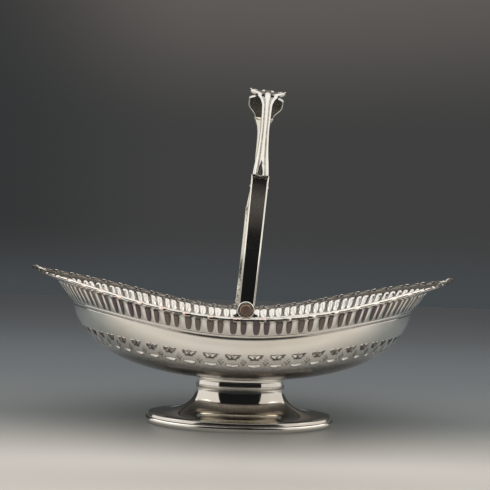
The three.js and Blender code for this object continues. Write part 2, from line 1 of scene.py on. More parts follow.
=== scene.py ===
"""Silver-plated swing-handled basket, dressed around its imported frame.

Sizes are in millimetres in the frame's own axes: +X along the bowl, +Y across it along the hinge
line and +Z up from the table. They turn into metres where a mesh is made.
"""
import logging
import math
from dataclasses import dataclass, field
from enum import Enum
from functools import cached_property
from typing import Callable, NamedTuple, Sequence

import bmesh
import bpy
import numpy as np
from mathutils import Matrix, Vector
from mathutils.geometry import delaunay_2d_cdt


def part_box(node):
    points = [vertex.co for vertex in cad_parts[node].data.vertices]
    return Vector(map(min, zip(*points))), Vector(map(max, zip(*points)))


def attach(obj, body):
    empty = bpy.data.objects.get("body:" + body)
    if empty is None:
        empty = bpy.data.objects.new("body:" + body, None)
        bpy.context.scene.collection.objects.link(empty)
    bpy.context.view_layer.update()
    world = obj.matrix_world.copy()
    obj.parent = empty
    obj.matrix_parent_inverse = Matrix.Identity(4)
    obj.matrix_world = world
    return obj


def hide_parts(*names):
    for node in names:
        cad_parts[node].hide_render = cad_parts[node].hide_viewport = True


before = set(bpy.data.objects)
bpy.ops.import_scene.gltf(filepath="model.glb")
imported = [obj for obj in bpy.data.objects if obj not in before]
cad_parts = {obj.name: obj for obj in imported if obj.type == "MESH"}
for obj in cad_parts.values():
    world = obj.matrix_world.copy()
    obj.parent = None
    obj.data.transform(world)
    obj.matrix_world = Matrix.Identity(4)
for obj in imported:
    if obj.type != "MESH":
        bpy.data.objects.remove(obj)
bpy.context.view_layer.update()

MM = 0.001
LOG = logging.getLogger("basket")
Array = np.ndarray
Values = float | Array
Piece = bpy.types.Object
Colour = tuple[float, float, float, float]
Outline = list[tuple[float, float]]


class Slot(Enum):
    """Material slots of the record."""

    POLISHED = "polished_plate"
    CAST = "cast_plate"
    COPPER = "worn_copper"


class Body(Enum):
    """Bodies that the pieces ride on."""

    BASKET = "basket"
    HANDLE = "handle"


class Side(Enum):
    """Front and back of the basket, by the sign of Y."""

    FRONT = -1
    BACK = 1


class End(Enum):
    """The bowl's two points, by the sign of X."""

    LEFT = -1
    RIGHT = 1


# Mesh building


def mix(a: Values, b: Values, share: Values) -> Values:
    """Returns the value at a share of the way from a to b."""
    return a + (b - a) * share


def smooth(value: Values) -> Values:
    """Returns a soft step from 0 to 1 as the value goes from 0 to 1."""
    value = np.clip(value, 0.0, 1.0)
    return value * value * (3.0 - 2.0 * value)


def dome(value: Values) -> Values:
    """Returns a half circle's height over a value that runs from -1 to 1."""
    return np.sqrt(np.clip(1.0 - np.square(value), 0.0, 1.0))


def turns(count: int) -> Array:
    """Returns the angles of evenly spaced steps round a circle."""
    return np.arange(count) * 2.0 * np.pi / count


class Skin:
    """Points and faces gathered in millimetres and turned into one object."""

    def __init__(self) -> None:
        """Starts with no points and no faces."""
        self.places: list[Array] = []
        self.facings: list[Array] = []
        self.hollows: list[Array] = []
        self.rubs: list[Array] = []
        self.faces: list[tuple[Array, bool]] = []
        self.count = 0

    def add(self, places: Array, facings: Array | None = None,
            hollow: Values = 0.0, rubbed: Values = 0.0) -> Array:
        """Adds points.

        Args:
            places: points in any arrangement, with three values each.
            facings: the surface's normal at each point, where it is known.
            hollow: painted shade at each point, 0 to 1, with patina in the flutes.
            rubbed: how far the plate is rubbed through there, 0 to 1.

        Returns:
            The points' numbers, in the same arrangement.
        """
        flat = places.reshape(-1, 3)
        self.places.append(flat)
        self.facings.append(np.zeros_like(flat) if facings is None else facings.reshape(-1, 3))
        self.hollows.append(np.broadcast_to(hollow, places.shape[:-1]).reshape(-1))
        self.rubs.append(np.broadcast_to(rubbed, places.shape[:-1]).reshape(-1))
        numbers = np.arange(self.count, self.count + len(flat))
        self.count += len(flat)
        return numbers.reshape(places.shape[:-1])

    def face(self, faces: Array, follow: bool = True) -> None:
        """Adds faces with three or four corners; follow keeps the points' own normals."""
        self.faces.append((faces, follow))

    def strip(self, lower: Array, upper: Array, flip: bool = False, follow: bool = True) -> None:
        """Joins two closed rows of points with four-cornered faces.

        Args:
            lower: numbers of the first row.
            upper: numbers of the second row, as many.
            flip: whether the faces turn the other way.
            follow: whether they keep the points' own normals.
        """
        lower, upper = np.append(lower, lower[:1]), np.append(upper, upper[:1])
        quads = np.stack([lower[:-1], lower[1:], upper[1:], upper[:-1]], axis=1)
        self.face(quads[:, ::-1] if flip else quads, follow)

    def grid(self, numbers: Array, flip: bool = False) -> None:
        """Joins each closed row of points to the next."""
        for lower, upper in zip(numbers[:-1], numbers[1:]):
            self.strip(lower, upper, flip)

    def tube(self, places: Array, hollow: Values = 0.0, rubbed: Values = 0.0) -> None:
        """Adds closed sections, as add does, joins each to the next and closes both ends."""
        numbers = self.add(places, hollow=hollow, rubbed=rubbed)
        self.grid(numbers)
        self.cap(numbers[0], flip=True)
        self.cap(numbers[-1])

    def ring(self, places: Array, hollow: Values = 0.0) -> None:
        """Adds closed sections and joins each to the next, and the last to the first."""
        numbers = self.add(places, hollow=hollow)
        self.grid(np.concatenate([numbers, numbers[:1]]))

    def zip_rows(self, lower: Array, lower_shares: Array, upper: Array,
                 upper_shares: Array, flip: bool) -> None:
        """Joins two closed rows that have different counts.

        Args:
            lower: numbers of the first row.
            lower_shares: share of the way round of each of its points.
            upper: numbers of the second row.
            upper_shares: share of the way round of each of its points.
            flip: whether the faces turn the other way.
        """
        low_at = np.append(lower_shares, lower_shares[0] + 1.0)
        high_at = np.append(upper_shares, upper_shares[0] + 1.0)
        low, high = np.append(lower, lower[0]), np.append(upper, upper[0])
        faces, i, j = [], 0, 0
        while i < len(lower) or j < len(upper):
            if j >= len(upper) or (i < len(lower) and low_at[i + 1] <= high_at[j + 1]):
                faces.append((low[i], low[i + 1], high[j]))
                i += 1
            else:
                faces.append((low[i], high[j + 1], high[j]))
                j += 1
        triangles = np.array(faces)
        self.face(triangles[:, ::-1] if flip else triangles)

    def cap(self, ring: Array, flip: bool = False) -> None:
        """Closes a ring of points with a fan round its middle."""
        stacked = np.concatenate(self.places)
        hub = self.add(stacked[ring].mean(axis=0)[None])[0]
        after = np.roll(ring, -1)
        fan = np.stack([np.full_like(ring, hub), ring, after], axis=1)
        self.face(fan[:, ::-1] if flip else fan)

    def make(self, name: str, crease: float | None = None) -> Piece:
        """Turns what was gathered into an object.

        Args:
            name: the object's name.
            crease: degrees above which an edge is sharp; None keeps the points' own normals.

        Returns:
            The new object, linked to the scene.
        """
        faces = [row for block, _ in self.faces for row in block.tolist()]
        follow = [kept for block, kept in self.faces for _ in range(len(block))]
        mesh = bpy.data.meshes.new(name)
        mesh.from_pydata((np.concatenate(self.places) * MM).tolist(), [], faces)
        if crease is not None:
            solid = bmesh.new()
            solid.from_mesh(mesh)
            bmesh.ops.recalc_face_normals(solid, faces=solid.faces)
            solid.to_mesh(mesh)
            solid.free()
        mesh.shade_smooth()
        for label, values in (("hollow", self.hollows), ("rubbed", self.rubs)):
            layer = mesh.attributes.new(label, "FLOAT", "POINT")
            layer.data.foreach_set("value", np.concatenate(values).astype(np.float32))
        if crease is None:
            self._keep_normals(mesh, follow)
        else:
            mesh.set_sharp_from_angle(angle=math.radians(crease))
        piece = bpy.data.objects.new(name, mesh)
        bpy.context.scene.collection.objects.link(piece)
        return piece

    def _keep_normals(self, mesh: bpy.types.Mesh, follow: list[bool]) -> None:
        """Gives each corner its point's own normal, or its face's own on a cut wall."""
        corners = np.zeros(len(mesh.loops), dtype=np.int32)
        mesh.loops.foreach_get("vertex_index", corners)
        sizes = np.zeros(len(mesh.polygons), dtype=np.int32)
        mesh.polygons.foreach_get("loop_total", sizes)
        flat = np.zeros(len(mesh.polygons) * 3, dtype=np.float32)
        mesh.polygons.foreach_get("normal", flat)
        normals = np.concatenate(self.facings)[corners]
        walls = np.repeat(~np.array(follow), sizes)
        normals[walls] = np.repeat(flat.reshape(-1, 3), sizes, axis=0)[walls]
        mesh.normals_split_custom_set(normals.tolist())


def unit(vectors: Array) -> Array:
    """Returns vectors of length one."""
    return vectors / np.maximum(np.linalg.norm(vectors, axis=-1, keepdims=True), 1e-12)


def bead(skin: Skin, centre: Array, axes: Array, hollow: float) -> None:
    """Adds a rounded lobe.

    Args:
        skin: where the lobe goes.
        centre: its middle.
        axes: three rows, its half sizes along three directions; the last is its height.
        hollow: painted shade at its foot.
    """
    tilt = np.linspace(-0.45 * np.pi, 0.45 * np.pi, 7)
    turn = turns(14)
    flat = np.cos(tilt)[:, None, None] * (np.cos(turn)[None, :, None] * axes[0]
                                          + np.sin(turn)[None, :, None] * axes[1])
    places = centre + flat + np.sin(tilt)[:, None, None] * axes[2]
    # Painted shade, darker towards the lobe's foot.
    shade = np.clip(-np.sin(tilt) + 0.3, 0.0, 1.0)[:, None] * hollow
    skin.tube(places, shade)


# The bowl's surface


class Level(NamedTuple):
    """One closed curve round the bowl, or what a band adds to it."""

    half_length: float
    half_width: float
    point: float
    low: float
    high: float


@dataclass(frozen=True)
class BowlForm:
    """The bowl's outer surface, by level up it and by share of the way round.

    Level 0 to 1 is the body up to the ridge, 1 to 2 the fluted band, and 2 to 3 the flange.
    """

    ridge: Level = Level(130.3, 98.0, 1.2, 73.0, 89.5)
    band: Level = Level(13.3, 8.8, 0.15, 8.6, 15.5)
    flange: Level = Level(20.6, 10.4, 0.15, 1.8, 8.4)
    bottom: float = 33.0
    fullness: float = 2.6  # how fast the body widens from its bottom
    curl: float = 0.59  # how upright it ends at the ridge
    belly: float = 0.5  # swell of the fluted band
    sheer: tuple[float, ...] = (28 / 15, -4 / 3, 7 / 15)  # rise to the tips, as a curve
    wall: float = 1.0
    repeats: int = 54  # of the ornament, round the bowl
    rim_spread: float = 1.07  # how far the border's columns spread past the band's
    most_widening: float = 1.25  # most that the columns spread low on the body
    raised: float = 3.0  # rise of the underside over the foot
    raised_to: float = 0.42  # level where that rise ends

    def body_share(self, level: Array) -> Array:
        """Returns the share of the ridge's half sizes at a level on the body."""
        return (1.0 - (1.0 - level) ** (1.0 / self.curl)) ** (1.0 / self.fullness)

    def body_level(self, share: Array) -> Array:
        """Returns the level on the body at a share of the ridge's half sizes."""
        return 1.0 - (1.0 - share ** self.fullness) ** self.curl

    def sizes(self, level: Array) -> Array:
        """Returns the five sizes of the curves at some levels, as five rows."""
        body = np.clip(level, 0.0, 1.0)
        share = self.body_share(body)
        start = np.array([0.0, 0.0, 1.0, self.bottom, self.bottom])[:, None]
        ridge = np.array(self.ridge)[:, None]
        rows = start + (ridge - start) * np.stack([share, share, share, body, body])
        banded = np.clip(level - 1.0, 0.0, 1.0)
        rows = rows + np.array(self.band)[:, None] * banded
        rows = rows + np.array(self.flange)[:, None] * np.maximum(level - 2.0, 0.0)
        rows[:2] += self.belly * np.sin(np.pi * banded)
        rows[3:] += self.raised * np.maximum(1.0 - level / self.raised_to, 0.0) ** 2
        return rows

    def rise(self, share: Array) -> Array:
        """Returns the rise from mid-side (0) to tip (1) at a share of the half length."""
        square = share * share
        first, second, third = self.sheer
        return square * (first + square * (second + square * third))

    def surface(self, level: Array, angle: Array) -> Array:
        """Returns points on the plain surface."""
        half_length, half_width, point, low, high = self.sizes(level)
        along, across = np.cos(angle), np.sin(angle)
        x, z = half_length * along, low + (high - low) * self.rise(np.abs(along))
        return np.stack([x, np.sign(across) * half_width * np.abs(across) ** point, z], axis=1)

    def facing(self, level: Array, angle: Array) -> Array:
        """Returns the outward direction of the plain surface."""
        step = 0.004
        around = self.surface(level, angle + step) - self.surface(level, angle - step)
        above = self.surface(level + step, angle) - self.surface(np.maximum(level - step, 0.0), angle)
        return unit(np.cross(around, above))

    @cached_property
    def even_steps(self) -> tuple[Array, Array]:
        """Shares of the way round the top of the fluted band, and their angles."""
        angles = np.linspace(0.0, 2.0 * np.pi, 1441)
        ring = self.surface(np.full_like(angles, 2.0), angles)
        lengths = np.cumsum(np.linalg.norm(np.diff(ring, axis=0), axis=1))
        return np.insert(lengths, 0, 0.0) / lengths[-1], angles

    def column_angle(self, level: Array, share: Array) -> Array:
        """Returns the angle of an upright column of ornament at a level.

        Args:
            level: levels on the bowl.
            share: shares of the way round, counted from half a repeat before the right tip.

        Returns:
            Angles round the bowl, with the columns spread at mid-side on the shorter curves.
        """
        shares, angles = self.even_steps
        moved = share - 0.5 / self.repeats
        turns = np.floor(moved)
        angle = np.interp(moved - turns, shares, angles) + 2.0 * np.pi * turns
        spread = mix(1.0, self.rim_spread, np.maximum(level - 2.0, 0.0))
        band_top = self.ridge.half_length + self.band.half_length
        widening = spread * band_top / np.maximum(self.sizes(level)[0], 1.0)
        pull = (np.minimum(widening, self.most_widening) - 1.0) / 2.0
        return angle - pull * np.sin(2.0 * angle)

    def on_flange(self, share: Array, inward: Array, height: Array) -> Array:
        """Returns points over the flange's upper face.

        Args:
            share: shares of the way round.
            inward: distance in from the flange's edge.
            height: height above the upper face.

        Returns:
            The points, one row each.
        """
        share, inward, height = np.broadcast_arrays(share, inward, height)
        shape = share.shape
        share, inward, height = share.ravel(), inward.ravel(), height.ravel()
        edge = np.full_like(share, 3.0)
        angle = self.column_angle(edge, share)
        start = self.surface(edge - 1.0, angle)
        breadth = np.linalg.norm(self.surface(edge, angle) - start, axis=1)
        level = 3.0 - inward / breadth
        lift = (self.wall + height)[:, None]
        places = self.surface(level, angle) - self.facing(level, angle) * lift
        return places.reshape(*shape, 3)


@dataclass(frozen=True)
class Flutes:
    """The pressed flutes of the band, a wide and a narrow one in each repeat."""

    depth: float = 1.45
    shallow: float = 0.4  # depth low in the flute, as a share of the full depth
    wide_at: float = 0.5
    wide_half: float = 0.2
    narrow_at: float = 0.94
    narrow_half: float = 0.165
    foot: float = 1.09  # level of the lower end
    foot_round: float = 0.3  # levels over which the lower end is rounded
    foot_width: float = 0.78  # width there, as a share of the full width
    shoulder: float = 1.84  # level where the rounded top starts
    head_round: float = 0.22  # levels over which the top is rounded
    tip_climb: float = 0.3  # how many levels higher the tops lie at the bowl's points
    steps: tuple[float, ...] = (-1.0, -0.72, -0.37, 0.0, 0.37, 0.72, 1.0)

    def eased(self, level: Array, turn: Array) -> Array:
        """Returns the level less the climb of the flutes' tops at a share of the way round."""
        climb = self.tip_climb * np.cos(2.0 * np.pi * turn) ** 8
        return level - climb * smooth((level - 1.3) / 0.6)

    def width(self, level: Array) -> Array:
        """Returns the width at a level, as a share of the full width."""
        climb = np.clip((level - self.foot) / (self.shoulder - self.foot), 0.0, 1.0)
        low = mix(self.foot_width, 1.0, climb ** 0.8)
        low = low * dome(1.0 - np.clip((level - self.foot) / self.foot_round, 0.04, 1.0))
        high = dome(np.clip((level - self.shoulder) / self.head_round, 0.0, 0.99))
        return np.where(level < self.shoulder, low, high)

    def fullness(self, level: Array) -> Array:
        """Returns the depth at a level, as a share of the full depth."""
        climb = np.clip((level - self.foot) / (self.shoulder - self.foot), 0.0, 1.0)
        foot = smooth(1.8 * climb) * mix(self.shallow, 1.0, climb)
        head = smooth(1.0 - (level - self.shoulder) / self.head_round)
        return np.where(level < self.shoulder, foot, head)

    def hollow(self, level: Array, place: Array) -> Array:
        """Returns how far into a flute each place lies, from 0 at its edge to 1."""
        within = place - np.floor(place)
        inside = np.zeros_like(level)
        width = np.maximum(self.width(level), 1e-3)
        for middle, half in ((self.wide_at, self.wide_half), (self.narrow_at, self.narrow_half),
                             (self.narrow_at - 1.0, self.narrow_half)):
            across = (within - middle) / (half * width)
            inside = np.maximum(inside, 1.0 - across ** 2)
        return np.clip(inside, 0.0, 1.0)

    def sunk(self, level: Array, place: Array) -> Array:
        """Returns how far the surface is pressed in.

        Args:
            level: eased levels on the bowl.
            place: places round the bowl, in repeats.

        Returns:
            Depths in millimetres.
        """
        return self.depth * self.fullness(level) * self.hollow(level, place)

    def columns(self, level: float) -> Array:
        """Returns the places of the mesh's columns in one repeat at a level."""
        width = float(np.maximum(self.width(np.array([level])), 0.12)[0])
        steps = np.array(self.steps)
        wide = self.wide_at + self.wide_half * width * steps
        narrow = self.narrow_at + self.narrow_half * width * steps
        before = mix(self.narrow_at - 1.0 + self.narrow_half, self.wide_at - self.wide_half, 0.5)
        between = mix(self.wide_at + self.wide_half, self.narrow_at - self.narrow_half, 0.5)
        return np.concatenate([[before], wide, [between], narrow])


@dataclass(frozen=True)
class Piercing:
    """The cut-outs of one repeat, as outlines of place in the repeat and level."""

    first: float = 0.17  # place where the repeat's cell starts
    low: float = 0.449  # level of the cell's lower edge
    high: float = 0.742  # level of the cell's upper edge
    columns: int = 6
    rows: tuple[float, ...] = (0.50, 0.548, 0.60, 0.65, 0.70)
    width_scale: float = 14.2  # millimetres in a repeat
    height_scale: float = 58.0  # millimetres in a level, up the body
    slit_at: float = 0.503
    slit_half: float = 0.29
    slit_rise: float = 0.021
    slit_bend: float = 0.012

    @staticmethod
    def curve(start: Sequence[float], pull: Sequence[float], end: Sequence[float],
              steps: int) -> Outline:
        """Returns points from start up to but not at end, pulled towards a third point.

        Args:
            start: where it starts.
            pull: the point that pulls it.
            end: where it heads.
            steps: how many points it has.

        Returns:
            The points, as place and level.
        """
        points = []
        for i in range(steps):
            t = i / steps
            points.append(tuple((1 - t) ** 2 * a + 2 * t * (1 - t) * b + t * t * c
                                for a, b, c in zip(start, pull, end)))
        return points

    def petal(self, mirror: bool) -> Outline:
        """Returns a side petal of the fan."""
        foot, corner, inner = (0.446, 0.612), (0.195, 0.69), (0.425, 0.69)
        outline = (self.curve(foot, (0.28, 0.632), corner, 6)
                   + self.curve(corner, (0.31, 0.682), inner, 4)
                   + self.curve(inner, (0.45, 0.66), foot, 4))
        return [(1.0 - u, t) for u, t in reversed(outline)] if mirror else outline

    def teardrop(self) -> Outline:
        """Returns the fan's narrow middle petal."""
        tip, crown = (0.5, 0.628), (0.5, 0.706)
        return self.curve(tip, (0.56, 0.70), crown, 6) + self.curve(crown, (0.44, 0.70), tip, 6)

    def slit(self) -> Outline:
        """Returns the long low slit under the fan."""
        along, up = np.cos(turns(26)), np.sin(turns(26))
        place = 0.5 + self.slit_half * along
        bend = self.slit_bend * along ** 2
        rise = np.sign(up) * np.abs(up) ** 0.7 * self.slit_rise
        return list(zip(place.tolist(), (self.slit_at + bend + rise).tolist()))

    @staticmethod
    def lozenge(place: float, level: float, half: float, rise: float) -> list:
        """Returns a small lozenge with soft sides.

        Args:
            place: place of its middle.
            level: level of its middle.
            half: half its width, in repeats.
            rise: half its height, in levels.

        Returns:
            Its corners in order.
        """
        return [(place + half * r * math.cos(a), level + rise * r * math.sin(a))
                for a, r in zip(turns(8), (1.0, 0.62) * 4)]

    def outlines(self) -> list[Outline]:
        """Returns all the cut-outs of one repeat."""
        spots = ((1.0, 0.543), (1.0, 0.607), (0.915, 0.575), (1.085, 0.575))
        cluster = [self.lozenge(place, level, 0.06, 0.024) for place, level in spots]
        return [self.petal(False), self.petal(True), self.teardrop(), self.slit(), *cluster]

    @staticmethod
    def inside(points: Array, outline: Array) -> Array:
        """Returns which points lie inside an outline, by counting crossings."""
        x, y = points[:, 0:1], points[:, 1:2]
        ax, ay = outline[:, 0], outline[:, 1]
        bx, by = np.roll(ax, -1), np.roll(ay, -1)
        straddles = (ay > y) != (by > y)
        rise = np.where(by == ay, 1e-12, by - ay)
        crosses = straddles & (x < ax + (y - ay) * (bx - ax) / rise)
        return crosses.sum(axis=1) % 2 == 1

    def border_points(self) -> tuple[Array, Array, Array, Array]:
        """Returns the cell's lower, upper, left and right edges as place and level."""
        places = self.first + np.arange(self.columns + 1) / self.columns
        low = np.stack([places, np.full_like(places, self.low)], axis=1)
        high = np.stack([places, np.full_like(places, self.high)], axis=1)
        rows = np.array(self.rows)
        left = np.stack([np.full_like(rows, self.first), rows], axis=1)
        return low, high, left, left + [1.0, 0.0]

    def cell(self) -> tuple[Array, Array, list[Array], list[int]]:
        """Divides one repeat into triangles round its cut-outs.

        Returns:
            Points as place and level, triangles, the numbers round each cut-out, and the count
            of points on the lower, upper, left and right edges, which come first.
        """
        edges = self.border_points()
        outlines = [np.array(outline) for outline in self.outlines()]
        inner = self.filling(outlines)
        points = np.concatenate([*edges, *outlines, inner])
        scaled = points * [self.width_scale, self.height_scale]
        counts = [len(edge) for edge in edges]
        low, high, left, right = np.split(np.arange(sum(counts)), np.cumsum(counts)[:-1])
        frame_ring = [*low, *right, *high[::-1], *left[::-1]]
        lines = list(zip(frame_ring, frame_ring[1:] + frame_ring[:1]))
        loops, start = [], sum(counts)
        for outline in outlines:
            loop = np.arange(start, start + len(outline))
            loops.append(loop)
            lines += list(zip(loop, np.roll(loop, -1)))
            start += len(outline)
        corners = [Vector(point) for point in scaled.tolist()]
        lines = [(int(a), int(b)) for a, b in lines]
        _, _, faces, origins, _, _ = delaunay_2d_cdt(corners, lines, [], 0, 1e-6)
        source = np.array([origin[0] for origin in origins])
        triangles = source[np.array(faces)]
        middles = points[triangles].mean(axis=1)
        solid = ~np.any([self.inside(middles, outline) for outline in outlines], axis=0)
        return points, triangles[solid], loops, counts

    def filling(self, outlines: list[Array]) -> Array:
        """Returns points that fill the metal between the cut-outs evenly."""
        places = self.first + (np.arange(14) + 0.5) / 14.0
        levels = np.linspace(self.low, self.high, 9)[1:-1]
        grid = np.stack(np.meshgrid(places, levels), axis=-1).reshape(-1, 2)
        scale = np.array([self.width_scale, self.height_scale])
        edges = np.concatenate(outlines) * scale
        apart = np.linalg.norm(grid[:, None] * scale - edges[None], axis=2).min(axis=1)
        covered = np.any([self.inside(grid, outline) for outline in outlines], axis=0)
        return grid[(apart > 0.55) & ~covered]


@dataclass
class Bowl:
    """The raised bowl: one sheet with its pierced band, ridge, fluted band and flange."""

    form: BowlForm
    flutes: Flutes = Flutes()
    piercing: Piercing = Piercing()
    skin: Skin = field(default_factory=Skin)
    ridge_lip: float = 0.5
    ridge_at: float = 1.03
    ridge_half: float = 0.05
    groove_depth: float = 0.3
    groove_at: float = 0.978
    groove_half: float = 0.017
    groove_shade: float = 0.7  # painted shade in the groove under the ridge
    gap_shade: float = 0.9  # painted shade between the flutes, on the inner face
    underside_shade: float = 0.8  # painted shade under the bowl
    underside_from: float = 0.34  # level where that starts to fade
    underside_fade: float = 0.3  # levels over which it fades
    cut_shadow: float = 0.85  # painted shadow at the edges of the cut-outs
    floor_shares: tuple[float, ...] = (
        0.06, 0.14, 0.22, 0.30, 0.38, 0.46, 0.54, 0.61, 0.68, 0.74, 0.79, 0.82)
    plain_levels: tuple[float, ...] = (0.79, 0.84, 0.89, 0.93, 0.952)
    fluted_levels: tuple[float, ...] = (
        0.958, 0.968, 0.978, 0.988, 0.998, 1.012, 1.03, 1.05, 1.075, 1.10, 1.118, 1.13, 1.15,
        1.18, 1.22, 1.28, 1.36, 1.46, 1.58, 1.70, 1.80, 1.87, 1.92, 1.96, 1.99, 2.01, 2.03,
        2.06, 2.1, 2.15, 2.2, 2.25, 2.3, 2.36, 2.5, 2.75, 2.94, 3.0)

    def lift(self, level: Array, place: Array) -> Array:
        """Returns how far the worked surface stands above the plain one."""
        lip = self.ridge_lip * dome((level - self.ridge_at) / self.ridge_half)
        groove = self.groove_depth * dome((level - self.groove_at) / self.groove_half)
        eased = self.flutes.eased(level, place / self.form.repeats)
        return lip - groove - self.flutes.sunk(eased, place)

    def worked(self, level: Array, share: Array) -> Array:
        """Returns points on the worked outer surface."""
        angle = self.form.column_angle(level, share)
        lift = self.lift(level, share * self.form.repeats)
        return self.form.surface(level, angle) + self.form.facing(level, angle) * lift[:, None]

    def normal(self, level: Array, share: Array) -> Array:
        """Returns the outward direction of the worked surface."""
        along, up = 0.012 / self.form.repeats, 0.003
        around = self.worked(level, share + along) - self.worked(level, share - along)
        below = np.maximum(level - up, 0.0)
        above = self.worked(np.minimum(level + up, 3.0), share) - self.worked(below, share)
        return unit(np.cross(around, above))

    def place(self, level: Array, share: Array, inner: bool, cut: Values = 0.0) -> Array:
        """Adds points of the outer or the inner face, with painted shade, and returns their numbers.

        Args:
            level: their levels.
            share: their shares of the way round.
            inner: whether they lie on the inner face.
            cut: how much painted shadow each has from a cut-out's edge.

        Returns:
            The points' numbers, in the same arrangement.
        """
        shape = level.shape
        level, share = level.ravel(), share.ravel()
        cut = np.broadcast_to(cut, shape).ravel()
        normal = self.normal(level, share)
        eased = self.flutes.eased(level, share)
        inside = self.flutes.hollow(eased, share * self.form.repeats)
        # Painted shade with patina in the outer flutes, and painted shade in the inner gaps, the groove
        # and under the bowl.
        low = np.minimum(16.0 * (eased - self.flutes.foot), 0.72 + 0.4 * (eased - 1.0))
        full = smooth(np.where(eased < 1.6, low, 2.5 * self.flutes.fullness(eased)))
        groove = dome((level - self.groove_at) / self.groove_half)
        fade = smooth((level - self.underside_from) / self.underside_fade)
        under = self.underside_shade * (1.0 - fade)
        places = self.worked(level, share) - normal * (self.form.wall if inner else 0.0)
        facing = -normal if inner else normal
        gap = full * (1.0 - smooth(3.0 * inside))
        outer = full * smooth(2.8 * inside) + self.groove_shade * groove + under
        hollow = np.maximum(self.gap_shade * gap if inner else outer, cut)
        return self.skin.add(places.reshape(*shape, 3), facing, hollow.reshape(shape))

    def shares(self, places: Array) -> Array:
        """Returns the shares of the way round of the same places in every repeat."""
        repeats = np.arange(self.form.repeats)[:, None]
        return ((repeats + places[None, :]) / self.form.repeats).ravel()

    def row(self, level: float, places: Array, inner: bool) -> Array:
        """Adds one closed row of points at a level and returns their numbers."""
        shares = self.shares(places)
        return self.place(np.full_like(shares, level), shares, inner)

    def repeated(self, spots: Array, inner: bool, cut: Values = 0.0) -> Array:
        """Adds the same points, as place and level, in every repeat and returns their numbers."""
        repeats = self.form.repeats
        share = (np.arange(repeats)[:, None] + spots[None, :, 0]) / repeats
        return self.place(np.broadcast_to(spots[:, 1], share.shape), share, inner, cut)

    def pierced(self, inner: bool, low: Array, high: Array) -> list[Array]:
        """Adds the pierced band between two rows.

        Args:
            inner: whether this is the inner face.
            low: numbers of the row under the band.
            high: numbers of the row over it.

        Returns:
            The numbers of the points round each cut-out.
        """
        points, triangles, loops, counts = self.piercing.cell()
        repeats, columns = self.form.repeats, self.piercing.columns
        own = points[sum(counts):]
        left = points[sum(counts[:2]):sum(counts[:3])]
        starts = np.arange(repeats)[:, None]
        # Painted shadow round the cut-outs' edges.
        cut = self.cut_shadow * (np.arange(len(own)) < len(np.concatenate(loops)))
        own_numbers = self.repeated(own, inner, cut)
        left_numbers = self.repeated(left, inner)
        round_row = (starts * columns + np.arange(columns + 1)[None]) % (repeats * columns)
        numbers = np.concatenate([
            low[round_row], high[round_row], left_numbers, np.roll(left_numbers, -1, axis=0),
            own_numbers], axis=1)
        faces = numbers[:, triangles].reshape(-1, 3)
        self.skin.face(faces[:, ::-1] if inner else faces)
        return [numbers[:, loop] for loop in loops]

    def sheet(self, inner: bool) -> tuple[Array, list[Array]]:
        """Adds the outer or the inner face of the sheet.

        Args:
            inner: whether this is the inner face.

        Returns:
            The numbers along its edge, and round each cut-out of every repeat.
        """
        cut = self.piercing
        plain = cut.first + np.arange(cut.columns) / cut.columns
        levels = [*self.form.body_level(np.array(self.floor_shares)), cut.low]
        rows = np.stack([self.row(level, plain, inner) for level in levels])
        self.skin.grid(rows, flip=inner)
        height = self.form.bottom + self.form.raised + (self.form.wall if inner else 0.0)
        down = np.array([[0.0, 0.0, 1.0 if inner else -1.0]])
        hub = self.skin.add(np.array([[0.0, 0.0, height]]), down)
        fan = np.stack([np.full_like(rows[0], hub[0]), np.roll(rows[0], -1), rows[0]], axis=1)
        self.skin.face(fan[:, ::-1] if inner else fan)
        upper = np.stack([self.row(level, plain, inner) for level in (cut.high, *self.plain_levels)])
        loops = self.pierced(inner, rows[-1], upper[0])
        self.skin.grid(upper, flip=inner)
        fluted = np.stack([self.row(level, self.flutes.columns(level), inner)
                           for level in self.fluted_levels])
        first = self.shares(self.flutes.columns(self.fluted_levels[0]))
        self.skin.zip_rows(upper[-1], self.shares(plain), fluted[0], first, inner)
        self.skin.grid(fluted, flip=inner)
        return fluted[-1], loops

    def build(self) -> Piece:
        """Returns the bowl as one closed sheet."""
        outer_rim, outer_loops = self.sheet(inner=False)
        inner_rim, inner_loops = self.sheet(inner=True)
        self.skin.strip(outer_rim, inner_rim, follow=False)
        for outer, inner in zip(outer_loops, inner_loops):
            for here, there in zip(outer, inner):
                self.skin.strip(here, there, follow=False)
        return self.skin.make("bowl_sheet")


# Applied border


